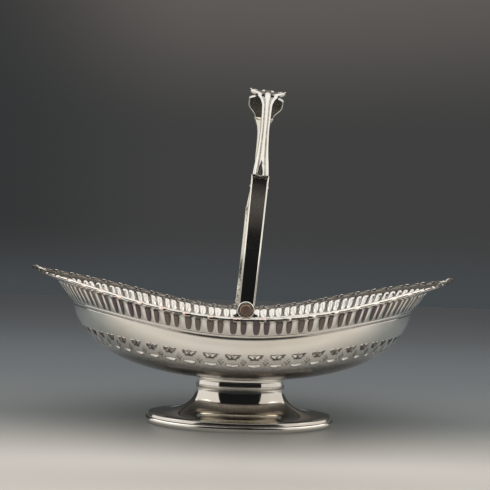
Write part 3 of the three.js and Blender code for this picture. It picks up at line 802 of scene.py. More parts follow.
@dataclass
class Border:
    """The cast border on the flange: a long scroll and a small bead in each repeat."""

    form: BowlForm
    width: float = 4.4
    lip: float = 0.62
    scroll_at: float = 0.155
    scroll_half: float = 0.365
    scroll_crown: float = 0.75
    bead_at: float = 0.655
    bead_half: float = 0.15
    bead_crown: float = 0.95
    hang: float = 0.45  # how far the edge comes down over the flange
    bead_hang: float = 1.0  # how much further a bead comes down
    shoulder: float = 0.35  # how square the top of a lobe is, less being squarer
    bead_rub: float = 0.6  # how far the beads are rubbed to copper
    steps: int = 22  # sections in a repeat
    tip_repeats: float = 1.28  # half the length of a leaf, in repeats
    tip_tongue: float = 12.0  # how far in a leaf reaches
    tip_rib: float = 1.1  # height of its midrib
    tip_lip: float = 0.5  # its lip, as a share of the run's
    tip_hang: float = 1.5  # how far its edge comes down, as a share of the run's
    right_tip: float = 0.5  # place of the right-hand point of the bowl
    gap: float = 0.01  # half the room between two pieces, in repeats

    def lobes(self, place: Array) -> tuple[Array, Array]:
        """Returns how full the scroll and the bead are at a place, 0 to 1."""
        within = place - np.floor(place)
        scroll = np.maximum(dome((within - self.scroll_at) / self.scroll_half),
                            dome((within - 1.0 - self.scroll_at) / self.scroll_half))
        return scroll, dome((within - self.bead_at) / self.bead_half)

    def rolled(self, place: Array, inward: list, height: list, lip: Values, hang: Values,
               crest: float) -> tuple[Array, Array]:
        """Adds the rolled lip and the underside to the rows across the top.

        Args:
            place: places round the bowl, in repeats.
            inward: distances in from the edge, from the innermost row outwards.
            height: heights over the flange.
            lip: how far the lip stands out.
            hang: how far it comes down.
            crest: height where it starts.

        Returns:
            The points by place and by step, and their heights.
        """
        for share in np.linspace(0.15, 1.0, 6):
            turn = math.pi * share
            inward.append(-0.45 * lip - 0.55 * lip * math.sin(turn))
            height.append(mix(crest, -hang, (1.0 - math.cos(turn)) / 2.0))
        inward += [0.9, 1.0, inward[0]]
        height += [-hang, 0.0, 0.0]
        inward = np.stack(np.broadcast_arrays(*inward), axis=1)
        height = np.stack(np.broadcast_arrays(*height), axis=1)
        return self.form.on_flange(place[:, None] / self.form.repeats, inward, height), height

    def section(self, place: Array) -> Array:
        """Returns the border's closed section at some places.

        Args:
            place: places round the bowl, in repeats.

        Returns:
            Points by place and by step round the section, first across the top from the inner
            edge to the lip, and then back underneath.
        """
        scroll, small = self.lobes(place)
        reach = 1.1 + (self.width - 1.1) * np.maximum(scroll ** 0.9, 0.62 * small)
        crown = 0.25 + self.scroll_crown * scroll ** 0.8 + self.bead_crown * small ** 0.8
        lip = self.lip * (0.1 + 0.6 * scroll + 0.9 * small)
        to_tip = np.abs(np.cos(2.0 * np.pi * place / self.form.repeats)) ** 6
        hang = self.hang + self.bead_hang * small * (1.0 - to_tip) + 0.4 * scroll
        inward, height = [], []
        for share in np.linspace(0.0, 1.0, 11):
            inward.append(mix(reach, -0.45 * lip, share))
            swell = math.sin(math.pi * share) ** self.shoulder if 0.0 < share < 1.0 else 0.0
            height.append(mix(0.1, 0.35, share) + crown * swell)
        return self.rolled(place, inward, height, lip, hang, 0.45)[0]

    def run(self, side: Side) -> Piece:
        """Returns the long run of the border along one side of the bowl."""
        half = self.form.repeats / 2
        start = self.right_tip + (half if side is Side.FRONT else 0.0)
        margin = self.tip_repeats + self.gap
        count = int(round((half - 2 * margin) * self.steps))
        place = np.linspace(start + margin, start + half - margin, count)
        scroll, small = self.lobes(place)
        # Painted shade in the notches between the lobes.
        shade = np.clip(1.0 - scroll - small, 0.0, 1.0) ** 2
        skin = Skin()
        points = self.section(place)
        hollow = np.broadcast_to(shade[:, None], points.shape[:2]).copy()
        # Painted shade along the inner edge and on the lower half of the lip, less under the beads.
        hollow[:, :5] = [1.0, 1.0, 0.9, 0.6, 0.2]
        hollow[:, 13:17] = 0.8 * (1.0 - small[:, None])
        fading = 1.0 - 0.85 * smooth((points[:, 9:16, 0] + 5.0) / 45.0)
        rubbed = np.zeros(points.shape[:2])
        rubbed[:, 9:16] = self.bead_rub * smooth(1.6 * small[:, None]) * fading
        skin.tube(points, hollow, rubbed)
        return skin.make(f"border_run_{side.name.lower()}", 38.0)

    def leaf(self, end: End) -> Piece:
        """Returns the leaf-shaped lip at one point of the bowl."""
        half = self.form.repeats / 2
        middle = self.right_tip + (half if end is End.LEFT else 2 * half)
        reach = self.tip_repeats - self.gap
        turn = np.linspace(-1.0, 1.0, 81)
        place = middle + reach * turn
        scroll, small = self.lobes(place)
        tongue = mix(self.tip_tongue, self.width, np.abs(turn) ** 0.8)
        tongue = tongue * (1.0 - 0.08 * np.cos(turn * 9.0 * math.pi) * (1.0 - turn ** 2))
        inward, height = [], []
        crown = 0.25 + 0.3 * (self.scroll_crown * scroll + self.bead_crown * small)
        lip, hang = self.tip_lip * self.lip, self.tip_hang * self.hang
        for share in np.linspace(0.0, 1.0, 25):
            back = mix(tongue, -0.45 * lip, share)
            rib = self.tip_rib * np.exp(-(turn / 0.16) ** 2) * smooth(share * 3.0)
            veins = 0.3 * np.cos((turn * 5.0 + share * 1.6 * np.sign(turn)) * math.pi)
            edge = np.clip((4.6 - back) / 5.2, 0.0, 1.0)
            swell = crown * np.sin(math.pi * edge ** 0.75) ** 0.8
            leafy = (0.35 + 0.25 * share + rib + veins * (1.0 - edge)) * smooth(share * 8.0)
            inward.append(back)
            height.append(0.12 + np.maximum(leafy, 0.08) + swell * (0.55 + 0.45 * abs(turn)))
        points, height = self.rolled(place, inward, height, lip, hang, 0.5)
        skin = Skin()
        # Painted shade, darker where the leaf lies lower, with the lip kept light.
        shade = np.clip(0.9 - height / 1.4, 0.0, 1.0)
        shade[:, 24:31] = 0.1
        rubbed = np.zeros_like(shade)
        rubbed[:, 24:31] = 0.5 * self.bead_rub
        skin.tube(points, shade, rubbed)
        return skin.make(f"border_leaf_{end.name.lower()}", 38.0)


# Foot


@dataclass
class Foot:
    """The spread oval foot: collar, waist ring, bell and the wire round its edge."""

    form: BowlForm
    half_length: float = 72.3
    half_width: float = 40.0
    wall: float = 1.1
    edge_wire: float = 5.0
    dish_height: float = 7.0
    neck_half_length: float = 34.0
    neck_half_width: float = 20.0
    stem_top: float = 28.1
    ring_radius: float = 0.65
    ring_inset: float = 0.35  # of the painted shade on the stem under the waist ring
    shade_band_width: float = 1.9  # of the tarnish under the waist ring
    wire_radius: float = 2.4
    collar_flare: float = 6.0  # how far the collar spreads under the bowl
    collar_bend: float = 7.0  # how late it spreads, more being later
    collar_lean: float = 1.0  # how far it draws in on its way up
    gap: float = 0.3
    segments: int = 240

    def half_width_at(self, reach: Array) -> Array:
        """Returns the half width of the oval whose half length is the reach."""
        share = (reach - self.neck_half_length) / (self.half_length - self.neck_half_length)
        return mix(self.neck_half_width, self.half_width, share)

    def oval(self, name: str, profile: tuple[Array, Array, Values], crease: float,
             height_at: Callable | None = None, hollow: Values = 0.0) -> Piece:
        """Turns a closed profile into an oval ring.

        Args:
            name: the piece's name.
            profile: reach along X, height, and inset from the oval of that reach.
            crease: degrees above which an edge is sharp.
            height_at: gives the heights from x, y and the profile's heights, where they vary.
            hollow: painted shade at each point of the profile.

        Returns:
            The ring as an object.
        """
        reach, height, inset = profile
        angle = turns(self.segments)[:, None]
        x = (reach - inset) * np.cos(angle)
        y = (self.half_width_at(reach) - inset) * np.sin(angle)
        z = np.broadcast_to(height, x.shape) if height_at is None else height_at(x, y, height)
        skin = Skin()
        skin.ring(np.stack([x, y, z], axis=-1), hollow)
        return skin.make(name, crease)

    def sheet_profile(self, reach: Array, height: Array) -> tuple[Array, Array, Array]:
        """Returns a curve and its offset copy inside as one profile."""
        run, rise = np.gradient(reach), np.gradient(height)
        length = np.hypot(run, rise)
        lower = height - run / length * self.wall
        inset = np.append(np.zeros_like(reach), (-rise / length * self.wall)[::-1])
        return np.append(reach, reach[::-1]), np.append(height, lower[::-1]), inset

    def bell(self) -> Piece:
        """Returns the hollow stem that spreads into the dished base."""
        edge = self.half_length - 0.5 * self.edge_wire
        share = np.linspace(0.0, 1.0, 56)
        reach = mix(self.neck_half_length, edge, share ** 2.2)
        height = mix(self.dish_height, self.stem_top, (1.0 - share) ** 1.9)
        step = smooth((reach - (edge - 2.6)) / 0.8)
        height = height + 0.45 * (1.0 - step) - 0.1
        profile = self.sheet_profile(reach, height)
        # Painted shade on the stem just under the waist ring.
        ring_shade = 1.3 * smooth((height - self.stem_top + self.shade_band_width) / 0.8)
        hollow = np.concatenate([ring_shade, np.zeros_like(ring_shade)])
        return self.oval("foot_bell", profile, 32.0, hollow=hollow)

    def rim_wire(self) -> Piece:
        """Returns the rolled wire round the edge of the base."""
        radius = self.wire_radius
        angle = np.linspace(-0.5 * math.pi, 0.42 * math.pi, 22)
        reach = self.half_length - radius + radius * np.cos(angle)
        height = radius * (1.0 + np.sin(angle))
        inner = self.half_length - self.edge_wire
        reach = np.append(reach, [inner + 3.0, inner + 2.3, inner - 0.2, inner])
        top = self.dish_height - 0.25
        height = np.append(height, [top - 0.9, top, self.dish_height - self.wall - 0.3, 0.0])
        return self.oval("foot_rim_wire", (reach, height, 0.0), 40.0)

    def waist_ring(self) -> Piece:
        """Returns the small ring moulding at the waist."""
        angle = turns(20)
        reach = self.neck_half_length - self.ring_inset + self.ring_radius * np.cos(angle)
        height = self.ring_height + self.ring_radius * np.sin(angle)
        return self.oval("foot_waist_ring", (reach, height, 0.0), 60.0)

    @property
    def ring_height(self) -> float:
        """Height of the middle of the waist ring."""
        return self.stem_top + self.gap + self.ring_radius - 0.2

    def underside(self, x: Array, y: Array) -> Array:
        """Returns the height of the bowl's underside over places near its middle."""
        along, across = x / self.form.ridge.half_length, y / self.form.ridge.half_width
        share, angle = np.hypot(along, across).ravel(), np.arctan2(across, along).ravel()
        level = self.form.body_level(share)
        return self.form.surface(level, angle)[:, 2].reshape(x.shape)

    def collar(self) -> Piece:
        """Returns the flared collar that joins the foot to the bowl."""
        low = self.ring_height + 0.55 * self.ring_radius
        share = np.linspace(0.0, 1.0, 18)
        reach = self.neck_half_length + self.collar_flare * share ** self.collar_bend
        reach = reach - self.collar_lean * share
        inset = np.repeat([0.0, self.wall], len(share))
        profile = np.append(reach, reach[::-1]), np.append(share, share[::-1]), inset

        def seated(x: Array, y: Array, height: Array) -> Array:
            """Returns heights that run from the ring up to the bowl."""
            return mix(low, self.underside(x, y) - 0.05, height)

        return self.oval("foot_collar", profile, 40.0, seated)


# Handle


@dataclass(frozen=True)
class Bow:
    """The handle's middle line, in its own frame with the hinge line as the Y axis."""

    pivot: float = 90.0  # height of the hinge line
    lean: float = 4.8  # degrees that the handle leans at rest
    foot_reach: float = 112.3  # the legs' middle, from the bowl's
    leg_rise: float = 87.0
    leg_top_reach: float = 85.0
    leg_bow: float = 8.0  # reach and drop of the pull that bows the leg's top
    leg_bow_drop: float = 25.0
    crest: float = 168.2  # the grip's middle, over the hinge line
    arch_lean: float = 21.0  # length over which the arch carries the leg's heading on
    arch_flat: float = 34.0  # and over which it levels out

    @property
    def leg(self) -> Array:
        """The leg's four control points, as reach and rise."""
        bowed = (self.leg_top_reach + self.leg_bow, self.leg_rise - self.leg_bow_drop)
        return np.array([(self.foot_reach, 0.0), (self.foot_reach, self.leg_rise * 0.37), bowed,
                         (self.leg_top_reach, self.leg_rise)])

    @property
    def arch(self) -> Array:
        """The arch's four control points, as reach and rise."""
        before, start = self.leg[2:]
        return np.array([start, start + unit(start - before) * self.arch_lean,
                         (self.arch_flat, self.crest), (0.0, self.crest)])

    @staticmethod
    def along(controls: Array, share: Array) -> tuple[Array, Array]:
        """Returns the points and headings of a curve at some shares of it."""
        t = np.asarray(share, dtype=float)[:, None]
        a, b, c, d = controls
        point = (1 - t) ** 3 * a + 3 * (1 - t) ** 2 * t * b + 3 * (1 - t) * t ** 2 * c + t ** 3 * d
        slope = (1 - t) ** 2 * (b - a) + 2 * (1 - t) * t * (c - b) + t ** 2 * (d - c)
        return point, unit(slope)

    def arch_share(self, reach: Array) -> Array:
        """Returns the shares of the arch that lie at some reaches from the middle."""
        shares = np.linspace(0.0, 1.0, 2001)
        places, _ = self.along(self.arch, shares)
        return np.interp(-np.asarray(reach), -places[:, 0], shares)

    def leaned(self, places: Array) -> Array:
        """Returns points of the handle's own frame as it stands in the basket."""
        angle = math.radians(self.lean)
        cos, sin = math.cos(angle), math.sin(angle)
        x, y, z = np.moveaxis(places, -1, 0)
        return np.stack([x * cos + z * sin, y, self.pivot - x * sin + z * cos], axis=-1)

    def across(self, controls: Array, share: Array, side: float, width: Array, height: Array) -> Array:
        """Sets points square across a curve of the handle.

        Args:
            controls: the curve's control points.
            share: shares of the curve, one for each section.
            side: -1 for the front and 1 for the back.
            width: offsets along X, by section and by point.
            height: offsets outwards, by section and by point.

        Returns:
            The points in the basket's frame.
        """
        place, heading = self.along(controls, share)
        width, height = np.broadcast_arrays(width, height)
        outward = np.column_stack([np.zeros(len(share)), side * heading[:, 1], -heading[:, 0]])
        centre = np.column_stack([np.zeros(len(share)), side * place[:, 0], place[:, 1]])
        x_axis = np.array([1.0, 0.0, 0.0])
        return self.leaned(centre[:, None] + width[..., None] * x_axis
                           + height[..., None] * outward[:, None])


@dataclass
class Strap:
    """A flat leg with a sunk mirror panel, a round eye, and ornament on its inner face."""

    bow: Bow
    side: Side
    skin: Skin = field(default_factory=Skin)
    thick: float = 1.8
    foot_width: float = 9.9
    top_width: float = 11.7
    start: float = 0.034
    rail: float = 1.05
    depth: float = 0.65
    chamfer: float = 0.3
    eye_radius: float = 5.3
    eye_inner: float = 3.65
    bore_radius: float = 1.7
    eye_lift: float = 0.75
    husks: int = 5
    husk_pitch: float = 8.4
    husk_start: float = 8.0

    def half(self, share: Array) -> Array:
        """Returns half the strap's width at shares of the leg."""
        return mix(self.foot_width, self.top_width, np.asarray(share)) / 2.0

    def band(self) -> None:
        """Adds the strap with its sunk panel."""
        share = mix(self.start, 1.0, np.linspace(0.0, 1.0, 70))
        half = self.half(share)[:, None]
        face, cut, low = self.thick / 2.0, self.chamfer, self.thick / 2.0 - self.depth
        one = np.ones_like(half)
        arc = np.linspace(0.0, math.pi, 9)
        rail = self.rail / 2.0
        right = [half - rail + rail * math.cos(a) for a in arc]
        crest = [low + self.depth * math.sin(a) for a in arc]
        width = [-half + cut, half - cut, half, *right, half - 2.0 * rail - 0.05,
                 -half + 2.0 * rail + 0.05, *[-w for w in reversed(right)], -half]
        height = [-face, -face, -face + cut, *crest, low, low, *reversed(crest), -face + cut]
        points = self.bow.across(self.bow.leg, share, self.side.value,
                                 np.concatenate(width, axis=1),
                                 np.concatenate([h * one for h in height], axis=1))
        self.skin.tube(points)

    def eye(self) -> None:
        """Adds the ring round the rivet."""
        face = self.thick / 2.0
        rim = [(self.bore_radius, -face), (self.eye_radius - self.chamfer, -face),
               (self.eye_radius, -face + self.chamfer), (self.eye_radius, face - 0.1)]
        arc = np.linspace(0.0, math.pi, 9)
        middle = (self.eye_radius + self.eye_inner) / 2.0
        breadth = (self.eye_radius - self.eye_inner) / 2.0
        rim += [(middle + breadth * math.cos(a), face - 0.1 + (self.eye_lift + 0.1) * math.sin(a))
                for a in arc]
        rim += [(self.eye_inner, face - 0.2), (self.bore_radius, face - 0.2)]
        radius, reach = np.array(rim).T
        turn = turns(72)[:, None]
        x, z = radius * np.cos(turn), radius * np.sin(turn)
        y = np.broadcast_to(self.side.value * (self.bow.foot_reach + reach), x.shape)
        self.skin.ring(self.bow.leaned(np.stack([x, y, z], axis=-1)))

    def ledge(self) -> None:
        """Adds the wavy ledge that closes the panel at the top."""
        length = self.bow.leg_rise
        across = np.linspace(-1.0, 1.0, 25)
        wave = 0.35 * np.cos(across * 3.0 * math.pi)
        arc = turns(10)
        half = float(self.half([1.0])[0]) - 0.6
        share = 1.0 - (0.9 + wave[:, None] + 0.75 * np.cos(arc)[None]) / length
        height = np.broadcast_to(self.thick / 2.0 - 0.1 + 0.55 * np.sin(arc), share.shape)
        width = np.broadcast_to((half * across)[:, None], share.shape)
        points = self.bow.across(self.bow.leg, share.ravel(), self.side.value,
                                 width.ravel()[:, None], height.ravel()[:, None])
        self.skin.tube(points.reshape(*share.shape, 3))

    def lobe(self, rise: float, aside: float, turn: float, size: tuple[float, float, float]) -> None:
        """Adds one raised lobe on the inner face.

        Args:
            rise: how far up the leg it sits.
            aside: its offset along X.
            turn: degrees that it is turned from upright.
            size: half length, half breadth and height.
        """
        share = np.array([rise / self.bow.leg_rise])

        def spot(width: float, height: float) -> Array:
            """Returns the point at an offset along X and outwards."""
            return self.bow.across(self.bow.leg, share, self.side.value, np.array([[width]]),
                                   np.array([[height]]))[0, 0]

        face = -self.thick / 2.0
        centre = spot(aside, face)
        sideways = unit(spot(aside + 1.0, face) - centre)
        inward = unit(spot(aside, face - 1.0) - centre)
        upward = np.cross(inward, sideways)
        upward = upward if upward[2] > 0.0 else -upward
        angle = math.radians(turn)
        long = math.cos(angle) * upward + math.sin(angle) * sideways
        short = math.cos(angle) * sideways - math.sin(angle) * upward
        axes = np.array([long * size[0], short * size[1], inward * size[2]])
        bead(self.skin, centre, axes, hollow=0.9)

    def ornament(self) -> None:
        """Adds a chain of husks low on the inner face, and a leaf at its top."""
        for k in range(self.husks):
            rise = self.husk_start + k * self.husk_pitch
            full = 1.0 - 0.1 * k
            self.lobe(rise + 1.0, 0.0, 0.0, (3.6, 1.15 * full, 0.85))
            for way in (-1.0, 1.0):
                self.lobe(rise, way * 2.3 * full, way * 24.0, (3.1, 0.95 * full, 0.7))
                self.lobe(rise - 2.4, way * 3.4 * full, way * 50.0, (1.5, 0.7 * full, 0.55))
        top = self.bow.leg_rise - 6.0
        self.lobe(top - 4.0, 0.0, 0.0, (7.5, 1.3, 0.9))
        for way in (-1.0, 1.0):
            self.lobe(top - 2.0, way * 2.4, -way * 16.0, (6.0, 1.15, 0.8))
            self.lobe(top + 1.0, way * 4.2, -way * 26.0, (4.2, 0.9, 0.65))

    def build(self) -> Piece:
        """Returns the leg."""
        self.band()
        self.eye()
        self.ledge()
        self.ornament()
        return self.skin.make(f"strap_{self.side.name.lower()}", 30.0)


@dataclass(frozen=True)
class Reeds:
    """Height of the reeded face over its back, for the arms and the ends of the grip."""

    reed: float = 1.7
    middle: float = 1.95
    groove: float = 0.6
    middle_share: float = 0.34

    def height(self, offset: Array, half: Array, side_width: Array,
               middle_half: Array, middle_full: Array,
               full: Values = 1.0) -> Array:
        """Returns heights over the arm's middle line.

        Args:
            offset: distances from the middle, by section and point.
            half: half width of each section.
            side_width: width of the side reeds.
            middle_half: half width of the middle reed.
            middle_full: how full the middle reed is, 0 to 1.
            full: share of the full height, by section.

        Returns:
            The heights of the outer face.
        """
        away = np.abs(offset)
        side = dome((away - (half - side_width / 2.0)) / (side_width / 2.0))
        centre = dome(offset / middle_half) * middle_full
        relief = np.maximum((self.reed - self.groove) * side, (self.middle - self.groove) * centre)
        return full * (self.groove + relief)


@dataclass
class Arm:
    """A reeded arm between the grip and the leg."""

    bow: Bow
    side: Side
    reeds: Reeds = Reeds()
    start: float = 28.7
    back: float = -1.19
    split: float = 8.0  # length over which the middle reed is split above the ledge
    widths: tuple[tuple[float, float], ...] = (
        (0.0, 15.2), (0.02, 16.4), (0.075, 13.6), (0.13, 10.8), (0.2, 8.8), (0.25, 7.9),
        (0.38, 7.2), (0.5, 6.9), (0.61, 6.2), (0.72, 6.6), (0.825, 7.4), (0.915, 8.9), (1.0, 10.9))

    def build(self) -> Piece:
        """Returns the arm."""
        share = np.concatenate([np.linspace(0.0, 0.14, 22)[:-1], np.linspace(0.14, 1.0, 60)])
        known, width = np.array(self.widths).T
        half = np.interp(share, known, width)
        half = np.convolve(np.pad(half, 2, mode="edge"), np.ones(5) / 5.0, mode="valid") / 2.0
        half = half[:, None]
        steps = 41
        offset = np.linspace(-1.0, 1.0, steps)[None] * half
        reach = mix(self.start, self.bow.leg_top_reach, share)
        left = (1.0 - share[:, None]) * (self.bow.leg_top_reach - self.start) * 1.7
        opening = np.clip(1.0 - left / self.split, 0.0, 1.0)
        middle_half = half * self.reeds.middle_share
        height = self.reeds.height(offset, half, 0.84 * half - middle_half * (1.0 + 0.25 * opening),
                                   middle_half, 1.0 - smooth(opening * 2.0))
        wedge = np.clip(1.0 - np.abs(offset / half + 0.08) / (0.42 * opening + 1e-3), 0.0, 1.0)
        height = height - 0.9 * smooth(2.0 * wedge) * (opening > 0.0)
        crinkle = 0.5 * (1.0 + np.cos(left * 4.2)) * np.exp(-((offset / half - 0.26) / 0.12) ** 2)
        height = height + 0.8 * crinkle * smooth(3.0 * opening)
        height = np.where(np.abs(offset) > half * 0.999, 0.1, height)
        under = np.stack([half[:, 0], 0.86 * half[:, 0], -0.86 * half[:, 0], -half[:, 0]], axis=1)
        under_height = np.broadcast_to([-0.5, self.back, self.back, -0.5], under.shape)
        points = self.bow.across(
            self.bow.arch, self.bow.arch_share(reach), self.side.value,
            np.concatenate([offset, under], axis=1),
            np.concatenate([height, under_height], axis=1))
        # Painted shade in the grooves between the reeds, darker where the face lies lower.
        shade = np.concatenate([np.clip(1.3 - height, 0.0, 1.0), np.zeros_like(under)], axis=1)
        skin = Skin()
        skin.tube(points, shade)
        return skin.make(f"reeded_arm_{self.side.name.lower()}", 34.0)


@dataclass
class Grip:
    """The cartouche-shaped top plate that is held in the hand."""

    bow: Bow
    reeds: Reeds = Reeds()
    reach: float = 28.6
    half_thick: float = 1.1
    crest_full: float = 0.42  # height of the relief at the crest, as a share of the arms'
    rim: float = 2.6  # width of the raised rim
    midrib: float = 2.5  # half width of the midrib
    lump: float = 0.45  # depth of the notches round the fans
    lump_pitch: float = 2.6
    chevrons: tuple[float, ...] = (11.6, 9.4)  # reach of each chevron's point
    widths: tuple[tuple[float, float], ...] = (
        (0.0, 17.0), (6.0, 17.6), (7.6, 20.5), (8.8, 26.6), (10.8, 29.2), (18.0, 29.2),
        (20.5, 27.0), (23.5, 22.0), (26.0, 17.6), (28.6, 15.2))

    def build(self) -> Piece:
        """Returns the grip."""
        reach = np.linspace(-self.reach, self.reach, 151)
        away = np.abs(reach)
        known, width = np.array(self.widths).T
        half = np.interp(away, known, width) / 2.0
        half = np.convolve(np.pad(half, 3, mode="edge"), np.ones(7) / 7.0, mode="valid")[:, None]
        corner = np.exp(-((away[:, None] - 14.5) / 5.5) ** 4)
        lumps = np.abs(np.cos(away[:, None] * math.pi / self.lump_pitch))
        half = half - self.lump * corner * (1.0 - lumps)
        offset = np.linspace(-1.0, 1.0, 49)[None] * half
        ending = smooth((away[:, None] - 19.0) / 8.0)
        side_width = mix(self.rim, half * (1.0 - self.reeds.middle_share), ending)
        middle_full = dome(np.clip((16.0 - away[:, None]) / 3.0, 0.0, 1.0))
        middle_half = np.maximum(self.midrib, half * self.reeds.middle_share * ending)
        full = mix(self.crest_full, 1.0, smooth((away[:, None] - 4.0) / 14.0))
        height = self.reeds.height(offset, half, side_width, middle_half, middle_full, full)
        height = height + 0.25 * corner * lumps * (np.abs(offset) > half - self.rim)
        for apex in self.chevrons:
            from_line = away[:, None] - apex - 0.75 * np.abs(offset)
            height = np.maximum(height, 0.45 + 0.75 * dome(from_line / 0.7) * (np.abs(offset) < 4.2))
        height = np.where(np.abs(offset) > half * 0.999, 0.2, height)
        low = self.half_thick
        edge = np.concatenate([[1.0], 1.0 - 0.055 * (1.0 - np.cos(np.linspace(0.0, np.pi, 8))), [0.86]])
        depth = np.concatenate([[-0.5], -0.5 - (low - 0.5) * np.sin(np.linspace(0.0, np.pi, 8)),
                                [-0.45]])
        under = np.concatenate([half * edge[None], -half * edge[None, ::-1]], axis=1)
        under_height = np.broadcast_to(np.concatenate([depth, depth[::-1]]), under.shape)
        side = np.sign(reach + 1e-9)
        share = self.bow.arch_share(away)
        points = np.concatenate([
            self.bow.across(self.bow.arch, share[pick], way,
                            np.concatenate([offset, under], axis=1)[pick],
                            np.concatenate([height, under_height], axis=1)[pick])
            for way in (-1.0, 1.0) for pick in [side == way]])
        # Painted shade in the low parts, and full painted shade on the underside's middle.
        shaded_underside = np.abs(under) < 0.9 * half
        shade = np.concatenate([np.clip(1.1 - height, 0.0, 1.0), 1.4 * shaded_underside], axis=1)
        skin = Skin()
        skin.tube(points, shade)
        return skin.make("grip_plate", 34.0)


# Hinge


@dataclass
class Hinge:
    """The ear, the rivet and the washer at one end of the hinge line."""

    side: Side
    pivot: float = 90.0
    strap_middle: float = 112.3
    strap_thick: float = 1.8
    gap: float = 0.3
    ear_thick: float = 1.6
    ear_radius: float = 4.7
    ear_foot: float = 15.0
    foot_rise: float = -4.1
    washer_thick: float = 0.8
    washer_radius: float = 3.0
    shank_radius: float = 1.6
    running: float = 0.1
    head_radius: float = 3.4
    head_thick: float = 1.2
    peen_radius: float = 2.5
    peen_thick: float = 0.8

    @property
    def ear_outside(self) -> float:
        """Reach of the ear's outer face."""
        return self.strap_middle - self.strap_thick / 2 - self.gap

    @property
    def washer_outside(self) -> float:
        """Reach of the washer's outer face."""
        return self.ear_outside - self.ear_thick - self.gap

    @property
    def head_inside(self) -> float:
        """Reach of the inner face of the rivet's head."""
        return self.strap_middle + self.strap_thick / 2 + self.gap

    def turned(self, name: str, profile: Sequence[tuple[float, float]], crease: float,
               closed: bool) -> Piece:
        """Returns a piece turned about the hinge line, from radius and reach.

        Args:
            name: its name.
            profile: radius and reach of each step.
            crease: degrees above which an edge is sharp.
            closed: whether the profile comes back to its start.

        Returns:
            The piece as an object.
        """
        radius, reach = np.array(profile).T
        turn = turns(64)[:, None]
        x, z = radius * np.cos(turn), self.pivot + radius * np.sin(turn)
        y = np.broadcast_to(self.side.value * reach, x.shape)
        skin = Skin()
        rings = skin.add(np.stack([x, y, z], axis=-1)).T
        skin.grid(rings)
        if closed:
            skin.strip(rings[-1], rings[0])
        else:
            skin.cap(rings[0], flip=True)
            skin.cap(rings[-1])
        return skin.make(f"{name}_{self.side.name.lower()}", crease)

    def rivet(self) -> Piece:
        """Returns a rivet with a low, worn, slightly dished head."""
        outside = self.head_inside + self.head_thick
        peen_outside = self.washer_outside - self.washer_thick - self.gap
        peen_inside = peen_outside - self.peen_thick
        profile = [(0.4, peen_inside), (self.peen_radius * 0.7, peen_inside + 0.05),
                   (self.peen_radius, peen_inside + 0.4), (self.peen_radius, peen_outside),
                   (self.shank_radius, peen_outside), (self.shank_radius, self.head_inside),
                   (self.head_radius - 0.1, self.head_inside),
                   (self.head_radius, self.head_inside + 0.12)]
        arc = np.linspace(0.0, 0.5 * math.pi, 6)
        profile += [(self.head_radius - 0.55 + 0.55 * math.cos(a),
                     outside - 0.5 + 0.5 * math.sin(a)) for a in arc]
        profile += [(2.3, outside - 0.12), (1.5, outside - 0.22), (0.7, outside - 0.26),
                    (0.2, outside - 0.27)]
        return self.turned("rivet", profile, 50.0, False)

    def washer(self) -> Piece:
        """Returns the thin washer under the rivet's peened end."""
        bore = self.shank_radius + self.running
        outside, inside = self.washer_outside, self.washer_outside - self.washer_thick
        edge = 0.15
        profile = [(bore, inside + edge), (bore + edge, inside),
                   (self.washer_radius - edge, inside), (self.washer_radius, inside + edge),
                   (self.washer_radius, outside - edge), (self.washer_radius - edge, outside),
                   (bore + edge, outside), (bore, outside - edge)]
        return self.turned("washer", profile, 30.0, True)

    def outline(self) -> Array:
        """Returns the ear's outline as x and rise over the pivot."""
        half, foot, radius = self.ear_foot / 2, self.foot_rise, self.ear_radius
        share = np.linspace(0.0, 1.0, 12)[:, None]
        start = np.array([half, foot + 1.0])
        pull = np.array([radius, foot + 1.4])
        end = np.array([radius, 0.0])
        right = (1 - share) ** 2 * start + 2 * share * (1 - share) * pull + share ** 2 * end
        angle = np.linspace(0.0, math.pi, 25)[1:-1]
        head = radius * np.column_stack([np.cos(angle), np.sin(angle)])
        left = right[::-1] * [-1.0, 1.0]
        return np.concatenate([[[half, foot]], right, head, left, [[-half, foot]]])

    def ear(self, foot_height: float) -> Piece:
        """Returns a round-headed ear.

        Args:
            foot_height: height of the ear's foot, from the frame.

        Returns:
            The ear as an object.
        """
        outline = self.outline()
        outline[:, 1] = np.maximum(outline[:, 1], foot_height - self.pivot)
        bore = self.shank_radius + self.running
        turn = np.linspace(0.0, 2.0 * np.pi, len(outline), endpoint=False)
        start = np.arctan2(outline[0, 1], outline[0, 0])
        hole = bore * np.column_stack([np.cos(turn + start), np.sin(turn + start)])
        cut = 0.2
        shrink = outline - unit(outline - outline.mean(axis=0)) * cut
        outside, inside = self.ear_outside, self.ear_outside - self.ear_thick
        rows = [(hole, inside), (shrink, inside), (outline, inside + cut),
                (outline, outside - cut), (shrink, outside), (hole, outside)]
        skin = Skin()
        skin.ring(np.stack([
            np.column_stack([points[:, 0], np.full(len(points), self.side.value * reach),
                             self.pivot + points[:, 1]]) for points, reach in rows]))
        return skin.make(f"ear_{self.side.name.lower()}", 35.0)


# Finishes


